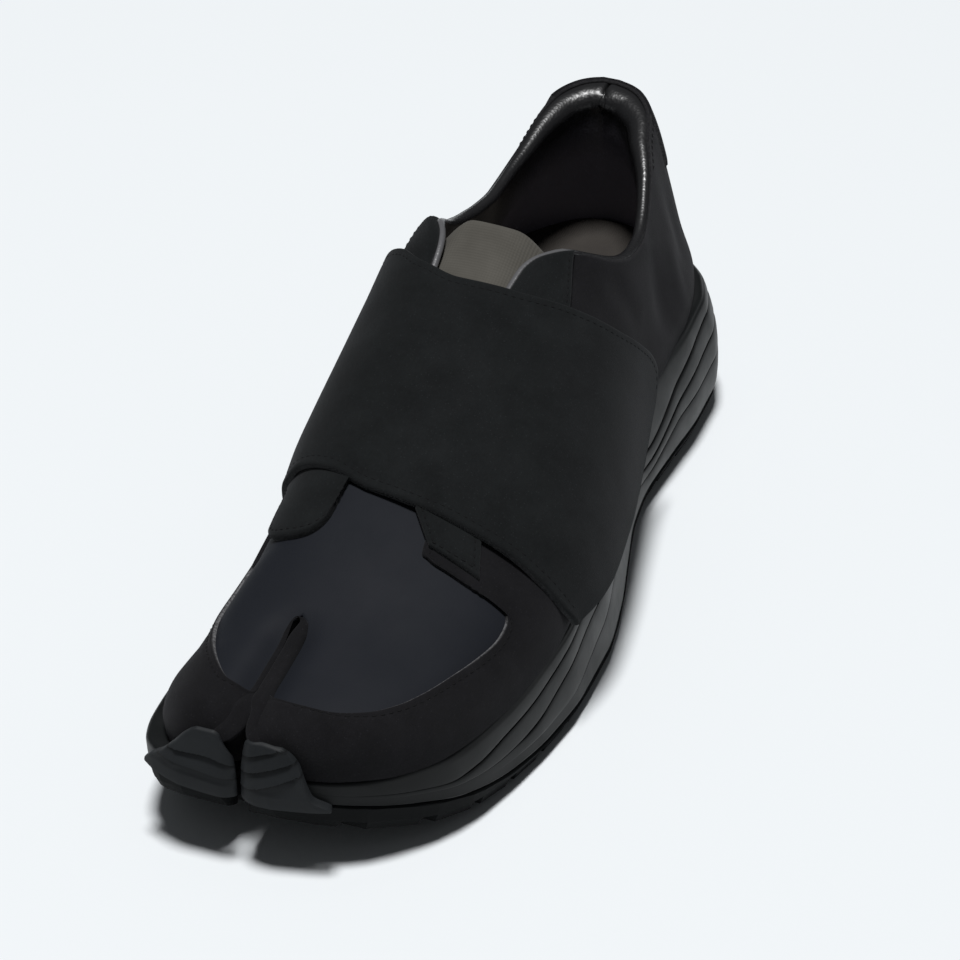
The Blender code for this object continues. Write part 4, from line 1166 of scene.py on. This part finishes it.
def build_tongue(material):
    """Padded tongue: a pillow under the throat with a rounded upper end."""
    first, last = TONGUE["rows"][0][0], TONGUE["rows"][-1][0]
    y, v = np.meshgrid(spread(first, last, 60, 0.5), rim_spread(40, 40), indexing="ij")
    lateral = share_at(y, along(TONGUE, "lateral", y), "lateral") / 2
    medial = 1 - share_at(y, along(TONGUE, "medial", y), "medial") / 2
    u = lateral + (medial - lateral) * v
    raised = along(TONGUE, "raise", y) * ease((CROWN_EDGE - np.abs(2 * v - 1)) / CROWN_EASE)
    below = wall_thickness(y) + CURVED_GAP + TONGUE_THICK / 2
    normal = outward(upper_point, y, u)
    face = across(upper_point, y, u) + normal * (raised - below)[..., None]
    away = rim_distances(face)
    near = np.minimum(np.minimum(away["low"], away["high"]), away["last"])
    half = normal * (TONGUE_THICK / 2 * rounded(near, TONGUE_ROUND) + TONGUE_LEAST)[..., None]
    points = np.concatenate([(face - half).reshape(-1, 3), (face + half).reshape(-1, 3)])
    tongue = make_piece("tongue_pad", points, sheet_faces(*face.shape[:2]), material,
                        ["tongue"], sharp=80)


# Pieces of the sole


def ring_piece(name, rings, material, nodes, sharp=60, marks=None):
    """A closed solid from rings listed from the bottom up."""
    count = len(rings[0]) // 2
    faces = cap_faces(count, 0, up=False)
    faces += strip_faces(len(rings), 2 * count, closed=True)
    faces += cap_faces(count, 2 * count * (len(rings) - 1))
    return make_piece(name, np.concatenate(rings), faces, material, nodes, marks, sharp=sharp)


def build_midsole(material):
    """Foam midsole: rounded bands parted by fine grooves, with painted shade in and beside them, a rounded
    lip on top.
    """
    stations = spread(SOLE_FRONT, SOLE_BACK, 150, 0.75)
    none = np.zeros(len(stations))
    rise = along(SOLE, "top", stations) - rubber_top(stations)
    flare = np.append(along(SOLE, "flare_lateral", stations), along(SOLE, "flare_medial", stations)[::-1])
    heel = np.clip((stations - HEEL_FROM) / HEEL_EASE, 0, 1)
    lean = BAND_LEAN + (HEEL_BAND_LEAN - BAND_LEAN) * ease(heel)
    bulge = HEEL_BULGE * heel * np.clip((SOLE_BACK - stations) / HEEL_BULGE_END, 0, 1)
    belly = BAND_BELLY + HEEL_BELLY * heel

    def ring(share, recess=0.0):
        """The outline at a share of the midsole's height, set in by a recess."""
        share = np.broadcast_to(share, len(stations))
        inset = flare * both_sides(share**lean) + both_sides(recess - bulge * np.sin(np.pi * share))
        plan = plan_ring(SOLE, stations, inset)
        low = both_sides(rubber_top(stations)) + CURVED_GAP
        top = along(SOLE, "top", plan[:, 1])
        return lift(plan, low + (top - low) * both_sides(share))

    names = ("low", "mid", "high")
    lines = [none + 0.03] + [along(GROOVES, name, stations) for name in names] + [1 - LIP_ROUND / rise]
    depths = [none] + [along(GROOVES, name + "_depth", stations) for name in names] + [none]
    rings = [ring(0, 0.9), ring(0.012, 0.25)]
    # painted shade per ring: dark in the grooves and on the bands' edges beside them
    dark = [none, none]
    for k in range(len(lines) - 1):
        slack = [(0.05 + FINE_GROOVE * np.minimum(depths[j], 1)) / rise for j in (k, k + 1)]
        start, end = lines[k] + slack[0], lines[k + 1] - slack[1]
        strong = np.clip(np.maximum(depths[k], depths[k + 1]), 0, 1)
        beside = {0.0: depths[k], 1.0: depths[k + 1]}
        for t in BAND_STEPS:
            rings.append(ring(start + (end - start) * t, -belly * strong * (1 - (2 * t - 1) ** 6)))
            dark.append(GROOVE_RIM_SHADE * np.clip(beside.get(t, none), 0, 1))
        if k < len(lines) - 2:
            rings.append(ring(lines[k + 1], depths[k + 1] * GROOVE_DEEP))
            dark.append(np.minimum(depths[k + 1], 1))
    for angle in np.radians(LIP_ANGLES):
        rings.append(ring(1 - LIP_ROUND * (1 - np.sin(angle)) / rise, LIP_ROUND * (1 - np.cos(angle))))
        dark.append(none)
    marks = {"painted_shade": np.concatenate([both_sides(values) for values in dark])}
    midsole = ring_piece("midsole_foam", rings, material, ["midsole"], marks=marks)
    cut_away(midsole, cleft_outline(SOLE_CLEFT_HALF, SOLE_FRONT, GUARD_CORNER, CLEFT_END), MIDSOLE_SHARP)


def build_insole(material):
    """Footbed with a rounded edge."""
    stations = spread(UPPER_FRONT + WALL_TOE, UPPER_BACK - WALL_HEEL, 60)
    rings = []
    for level, edge in INSOLE_PROFILE:
        plan = plan_ring(UPPER, stations, both_sides(wall_thickness(stations)) + INSOLE_INSET + edge)
        rings.append(lift(plan, along(SOLE, "top", plan[:, 1]) + level))
    insole = ring_piece("footbed", rings, material, ["insole"])
    front = UPPER_FRONT + WALL_TOE + INSOLE_INSET
    cut_away(insole, cleft_outline(CLEFT_HALF + WALL_TOE + CURVED_GAP, front, TOE_CORNER, CLEFT_END), 60)


def build_toe_guard(side, material):
    """Ribbed rubber bumper on one toe's front, with painted shade below each rib's ledge."""
    low, high = GUARD["rows"][0][0], GUARD["rows"][-1][0]
    heights = np.concatenate([[low, low + 0.25, low + 0.7], np.linspace(low + 1.2, high - 1.2, 90),
                              [high - 0.7, high - 0.25, high]])
    inner, outer, shade = [], [], []
    for z in heights:
        lean = float(along(GUARD, "lean", z))
        path, normal = toe_path(side, float(along(GUARD, side, z)))
        reach = np.concatenate([[0], np.linalg.norm(np.diff(path, axis=0), axis=1).cumsum()])
        at = rim_spread(44, reach[-1]) * reach[-1]
        path = np.stack([np.interp(at, reach, path[:, k]) for k in (0, 1)], -1)
        normal = np.stack([np.interp(at, reach, normal[:, k]) for k in (0, 1)], -1)
        facing = np.clip(-normal[:, 1:], 0, 1) ** 4
        seat = path + normal * (GAP + (1 - facing) * CURVED_GAP - lean * facing)
        share = at / reach[-1]
        up = (z - low) / (high - low)
        corner = GUARD_INNER_DROP[side] * np.clip(1 - share / GUARD_DROP_REACH, 0, 1) ** 2
        corner = corner + GUARD_OUTER_DROP[side] * share**2
        height = z + GUARD_RISE[side] * share**2 * (1 - up) - corner * up**2
        rim = np.minimum(np.minimum(at, reach[-1] - at), np.minimum(z - low, high - z))
        round_off = rounded(rim, GUARD_ROUND)
        climbing = [start + climb * at for start, climb in GUARD_LEDGES[side]]
        ledges = [low - LEDGE_CLEAR + 0 * at] + climbing + [high + LEDGE_CLEAR + 0 * at]
        relief, under_ledge = 0 * at, 0 * at
        for under, over in zip(ledges, ledges[1:]):
            band = (z - under) / (over - under)
            here = (band >= 0) & (band < 1)
            relief = np.where(here, GUARD_RELIEF * (0.5 - band) * np.clip(rim / 2 - 0.2, 0, 1), relief)
            under_ledge = np.where(here, np.exp(-(((over - z) / GUARD_SHADE) ** 2)), under_ledge)
        # painted shade just below each ledge
        shade.append(GUARD_SHADE_DARKNESS * under_ledge)
        inner.append(lift(seat, height))
        thick = GUARD_THICK * (1 - GUARD_TAPER * up**3)
        outer.append(lift(seat + normal * ((thick + relief) * round_off + 0.05)[:, None], height))
    marks = {"painted_shade": np.concatenate([0 * np.concatenate(shade), np.concatenate(shade)])}
    faces = sheet_faces(len(heights), len(at))
    make_piece("toe_bumper_" + side, np.concatenate(inner + outer), faces, material,
               ["toe_guard_" + side], marks, sharp=40)


# Materials


def new_material(name, roughness, colour):
    """A material with its node tree, its shader and the piece's own coordinates."""
    material = bpy.data.materials.new(name)
    material.use_nodes = True
    tree = material.node_tree
    shader = tree.nodes["Principled BSDF"]
    shader.inputs["Roughness"].default_value = roughness
    shader.inputs["Base Color"].default_value = (*colour, 1)
    coords = tree.nodes.new("ShaderNodeTexCoord").outputs["Object"]
    return material, tree, shader, coords


def add_node(tree, kind, values, links):
    """A node with constant values and links on its inputs."""
    node = tree.nodes.new("ShaderNode" + kind)
    for key, value in values.items():
        node.inputs[key].default_value = value
    for key, socket in links.items():
        tree.links.new(socket, node.inputs[key])
    return node


def stretch(tree, coords, scale):
    return add_node(tree, "Mapping", {"Scale": scale}, {"Vector": coords}).outputs["Vector"]


def noise(tree, coords, scale, detail=3.0, rough=0.55):
    values = {"Scale": scale, "Detail": detail, "Roughness": rough}
    return add_node(tree, "TexNoise", values, {"Vector": coords}).outputs["Fac"]


def cells(tree, coords, scale):
    return add_node(tree, "TexVoronoi", {"Scale": scale}, {"Vector": coords}).outputs["Distance"]


def remap(tree, value, low, high, to_low, to_high):
    values = {"From Min": low, "From Max": high, "To Min": to_low, "To Max": to_high}
    return add_node(tree, "MapRange", values, {"Value": value}).outputs["Result"]


def mix(tree, share, first, second):
    """Mix of two colours; either may be a socket."""
    node = tree.nodes.new("ShaderNodeMix")
    node.data_type = "RGBA"
    tree.links.new(share, node.inputs["Factor"])
    for key, colour in (("A", first), ("B", second)):
        socket = [s for s in node.inputs if s.name == key and s.type == "RGBA"][0]
        if isinstance(colour, tuple):
            socket.default_value = (*colour, 1)
        else:
            tree.links.new(colour, socket)
    return [s for s in node.outputs if s.type == "RGBA"][0]


def add(tree, first, second, weight):
    """first + weight * second."""
    node = tree.nodes.new("ShaderNodeMath")
    node.operation = "MULTIPLY_ADD"
    tree.links.new(second, node.inputs[0])
    node.inputs[1].default_value = weight
    tree.links.new(first, node.inputs[2])
    return node.outputs["Value"]


def times(tree, first, second):
    node = tree.nodes.new("ShaderNodeMath")
    node.operation = "MULTIPLY"
    tree.links.new(first, node.inputs[0])
    tree.links.new(second, node.inputs[1])
    return node.outputs["Value"]


def bump(tree, shader, height, distance, strength):
    values = {"Strength": strength, "Distance": distance * MM}
    node = add_node(tree, "Bump", values, {"Height": height})
    tree.links.new(node.outputs["Normal"], shader.inputs["Normal"])


def mark(tree, name):
    """The values per point that a piece carries under a name."""
    node = tree.nodes.new("ShaderNodeAttribute")
    node.attribute_name = name
    return node.outputs["Fac"]


def suede_material(name, dark, light, edge):
    """Napped suede: mottled where the nap lies different ways, pale where it is cut."""
    material, tree, shader, coords = new_material(name, 0.92, dark)
    patches = noise(tree, coords, 60, 5, 0.65)
    nap = noise(tree, coords, 2400, 2, 0.7)
    fibre = noise(tree, stretch(tree, coords, (1.0, 0.4, 1.0)), 1500, 3, 0.7)
    lie = add(tree, add(tree, patches, nap, 0.5), fibre, 0.4)
    tone = mix(tree, remap(tree, lie, 0.75, 1.2, 0, 1), dark, light)
    specks = remap(tree, cells(tree, coords, 800), 0.09, 0.17, 0.3, 0)
    tone = mix(tree, specks, tone, tuple(3.2 * c for c in light))
    fuzz = remap(tree, noise(tree, coords, 1300, 2), 0.35, 0.65, 0.25, 1.0)
    tone = mix(tree, times(tree, mark(tree, "pale_edge"), fuzz), tone, edge)
    tree.links.new(tone, shader.inputs["Base Color"])
    tree.links.new(remap(tree, nap, 0.3, 0.7, 0.86, 1.0), shader.inputs["Roughness"])
    shader.inputs["Specular IOR Level"].default_value = 0.12
    shader.inputs["Sheen Weight"].default_value = 0.06
    shader.inputs["Sheen Roughness"].default_value = 0.6
    shader.inputs["Sheen Tint"].default_value = (0.5, 0.5, 0.53, 1)
    bump(tree, shader, add(tree, nap, fibre, 0.6), 0.14, 0.6)
    return material


def vamp_material():
    """Smooth brushed leather with a faint grain and soft cloudy wear."""
    dark, light = (0.0105, 0.0120, 0.0160), (0.0125, 0.0140, 0.0182)
    material, tree, shader, coords = new_material("vamp_leather", 0.66, dark)
    cloud = noise(tree, coords, 40, 4, 0.55)
    tree.links.new(mix(tree, remap(tree, cloud, 0.35, 0.7, 0, 1), dark, light), shader.inputs["Base Color"])
    tree.links.new(remap(tree, cloud, 0.3, 0.7, 0.70, 0.64), shader.inputs["Roughness"])
    shader.inputs["Specular IOR Level"].default_value = 0.10
    grain = cells(tree, coords, 1900)
    bump(tree, shader, add(tree, grain, noise(tree, coords, 300, 3), 0.6), 0.05, 0.4)
    return material


def lining_material():
    """Padded lining leather with a fine pebble and some gloss, duller inside the heel, where a paler tone
    is painted light; painted shade in the back seam's notch and a painted highlight along the roll in the
    throat.
    """
    dark, light = (0.0070, 0.0070, 0.0078), (0.0120, 0.0120, 0.0130)
    # painted light: the inside's pale tone stands in for light that doesn't reach into the heel
    low = (0.255, 0.240, 0.290)
    material, tree, shader, coords = new_material("lining", 0.36, dark)
    cloud = noise(tree, coords, 90, 3)
    inside = mark(tree, "inside")
    tone = mix(tree, inside, mix(tree, cloud, dark, light), low)
    # painted highlight: a pale band along the roll's crest in the throat
    tone = mix(tree, mark(tree, "pale_edge"), tone, (0.10, 0.10, 0.105))
    # painted shade in the notch of the back seam
    tone = mix(tree, mark(tree, "painted_shade"), tone, (0.001, 0.001, 0.001))
    tree.links.new(tone, shader.inputs["Base Color"])
    gloss = add(tree, remap(tree, cloud, 0.3, 0.7, 0.40, 0.30), inside, 0.35)
    tree.links.new(gloss, shader.inputs["Roughness"])
    tree.links.new(remap(tree, inside, 0, 1, 0.3, 0), shader.inputs["Coat Weight"])
    shader.inputs["Coat Roughness"].default_value = 0.28
    grain = cells(tree, coords, 1100)
    bump(tree, shader, add(tree, grain, noise(tree, coords, 160, 2), 1.2), 0.14, 0.5)
    return material


def moulded_material(name, dark, light, roughness, speck, shine):
    """Moulded foam or rubber: satin with a fine skin, with painted shade in its grooves and under its
    ledges.
    """
    material, tree, shader, coords = new_material(name, roughness, dark)
    cloud = noise(tree, coords, 70, 4, 0.6)
    tone = mix(tree, remap(tree, cloud, 0.35, 0.7, 0, 1), dark, light)
    # painted shade in the grooves and under the ledges that a piece marks
    tone = mix(tree, mark(tree, "painted_shade"), tone, (0.002, 0.002, 0.002))
    tree.links.new(tone, shader.inputs["Base Color"])
    gloss = remap(tree, cloud, 0.3, 0.7, roughness - 0.06, roughness + 0.08)
    tree.links.new(gloss, shader.inputs["Roughness"])
    shader.inputs["Specular IOR Level"].default_value = shine
    bump(tree, shader, noise(tree, coords, speck, 3), 0.06, 0.5)
    return material


def cloth_material(name, dark, light, pitch):
    """Fine knit: two crossing rows of loops."""
    material, tree, shader, coords = new_material(name, 0.9, dark)
    waves = []
    for axis in ("X", "Y"):
        values = {"Scale": 1 / (pitch * MM) / WAVE_BANDS, "Distortion": 0.6}
        node = add_node(tree, "TexWave", values, {"Vector": coords})
        node.bands_direction = axis
        waves.append(node.outputs["Fac"])
    weave = add(tree, waves[0], waves[1], 0.8)
    cloud = noise(tree, coords, 80, 4)
    tree.links.new(mix(tree, remap(tree, cloud, 0.3, 0.75, 0, 1), dark, light), shader.inputs["Base Color"])
    shader.inputs["Specular IOR Level"].default_value = 0.2
    shader.inputs["Sheen Weight"].default_value = 0.08
    bump(tree, shader, add(tree, weave, noise(tree, coords, 700, 2), 0.8), 0.12, 0.5)
    return material


def thread_material():
    """Dull sewing thread."""
    material, tree, shader, coords = new_material("thread", 0.8, (0.006, 0.006, 0.007))
    twist = noise(tree, coords, 1500, 2)
    tone = mix(tree, twist, (0.003, 0.003, 0.0035), (0.008, 0.008, 0.009))
    tree.links.new(tone, shader.inputs["Base Color"])
    shader.inputs["Specular IOR Level"].default_value = 0.15
    bump(tree, shader, twist, 0.1, 0.5)
    return material


# Floor, light and camera


def build_floor():
    """A plain pale sheet just under the shoe."""
    mesh = bpy.data.meshes.new("floor")
    corners = [(x * FLOOR_REACH, y * FLOOR_REACH, 0) for x, y in ((-1, -1), (1, -1), (1, 1), (-1, 1))]
    mesh.from_pydata(corners, [], [(0, 1, 2, 3)])
    floor = bpy.data.objects.new("floor", mesh)
    floor.location.z = -FLOOR_DROP
    bpy.context.scene.collection.objects.link(floor)
    material, tree, shader, coords = new_material("floor_paper", 0.9, FLOOR_COLOUR)
    tone = mix(tree, noise(tree, coords, 3, 2), FLOOR_COLOUR, tuple(0.985 * c for c in FLOOR_COLOUR))
    tree.links.new(tone, shader.inputs["Base Color"])
    shader.inputs["Specular IOR Level"].default_value = 0.1
    mesh.materials.append(material)


def stand(name, data, place, target):
    """Put a light or a camera in the scene, turned to a target."""
    obj = bpy.data.objects.new(name, data)
    obj.location = place
    obj.rotation_euler = (Vector(target) - obj.location).to_track_quat("-Z", "Y").to_euler()
    bpy.context.scene.collection.objects.link(obj)
    return obj


def build_studio():
    """A faint sky, one soft light overhead, and the photo's camera."""
    scene = bpy.context.scene
    world = bpy.data.worlds.new("studio")
    world.use_nodes = True
    background = world.node_tree.nodes["Background"]
    background.inputs["Color"].default_value = (*SKY_COLOUR, 1)
    background.inputs["Strength"].default_value = SKY_STRENGTH
    scene.world = world
    light = bpy.data.lights.new("key", "AREA")
    light.shape = "DISK"
    light.size = KEY_SIZE
    light.energy = KEY_POWER
    stand("key", light, KEY_PLACE, KEY_TARGET)
    scene.view_settings.view_transform = "Standard"
    camera = bpy.data.cameras.new("camera")
    camera.sensor_width = 36
    camera.lens = CAMERA_LENS
    camera.clip_end = 50
    scene.camera = stand("camera", camera, CAMERA_EYE, CAMERA_TARGET)


def build_all():
    """The materials, then every piece, and the carried-over outsole's material."""
    cut = (0.16, 0.16, 0.165)
    suede = suede_material("suede", (0.0040, 0.0039, 0.0046), (0.0090, 0.0088, 0.0102), cut)
    strap = suede_material("strap_suede", (0.0046, 0.0054, 0.0057), (0.0096, 0.0110, 0.0116), cut)
    vamp = vamp_material()
    lining = lining_material()
    foam = moulded_material("foam", (0.0046, 0.0053, 0.0056), (0.0070, 0.0080, 0.0084), 0.46, 500, 0.23)
    # the outsole's black rubber, its own colour, made darker still as painted shade for the shade it lies
    # in under the shoe
    rubber = moulded_material("rubber", (0.0024, 0.0029, 0.0032), (0.0044, 0.0051, 0.0055), 0.70, 700, 0.08)
    bumper = moulded_material("toe_rubber", (0.0124, 0.0139, 0.0155), (0.0176, 0.0198, 0.0218), 0.58, 800,
                              0.16)
    knit = cloth_material("tongue_fabric", (0.070, 0.066, 0.057), (0.092, 0.087, 0.076), 0.9)
    bed = cloth_material("footbed", (0.033, 0.029, 0.026), (0.047, 0.042, 0.037), 0.7)
    thread = thread_material()

    build_vamp(vamp)
    build_quarter(suede)
    build_lining(lining)
    build_slit(suede)
    build_strap(strap)
    build_heel_patch(suede)
    for side in SIDES:
        build_mudguard(side, suede)
        build_toe_guard(side, bumper)
        build_overlay("lobe_" + side, side, LOBE[side], SUEDE, LOBE_RIMS, strap, ["low"],
                      swell=LOBE_SWELL[side])
    for side in SIDES:
        rims = {rim: FAINT for rim in TAB_SEAMS[side]}
        build_overlay("tab_" + side, side, TAB[side], TAB_THICK[side], rims, strap, TAB_SEAMS[side],
                      lift_by=TAB_LIFT[side])
    build_tongue(knit)
    build_insole(bed)
    build_midsole(foam)
    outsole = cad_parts["outsole"]
    outsole.data.materials.clear()
    outsole.data.materials.append(rubber)
    build_stitches(thread)


build_all()
build_floor()
build_studio()
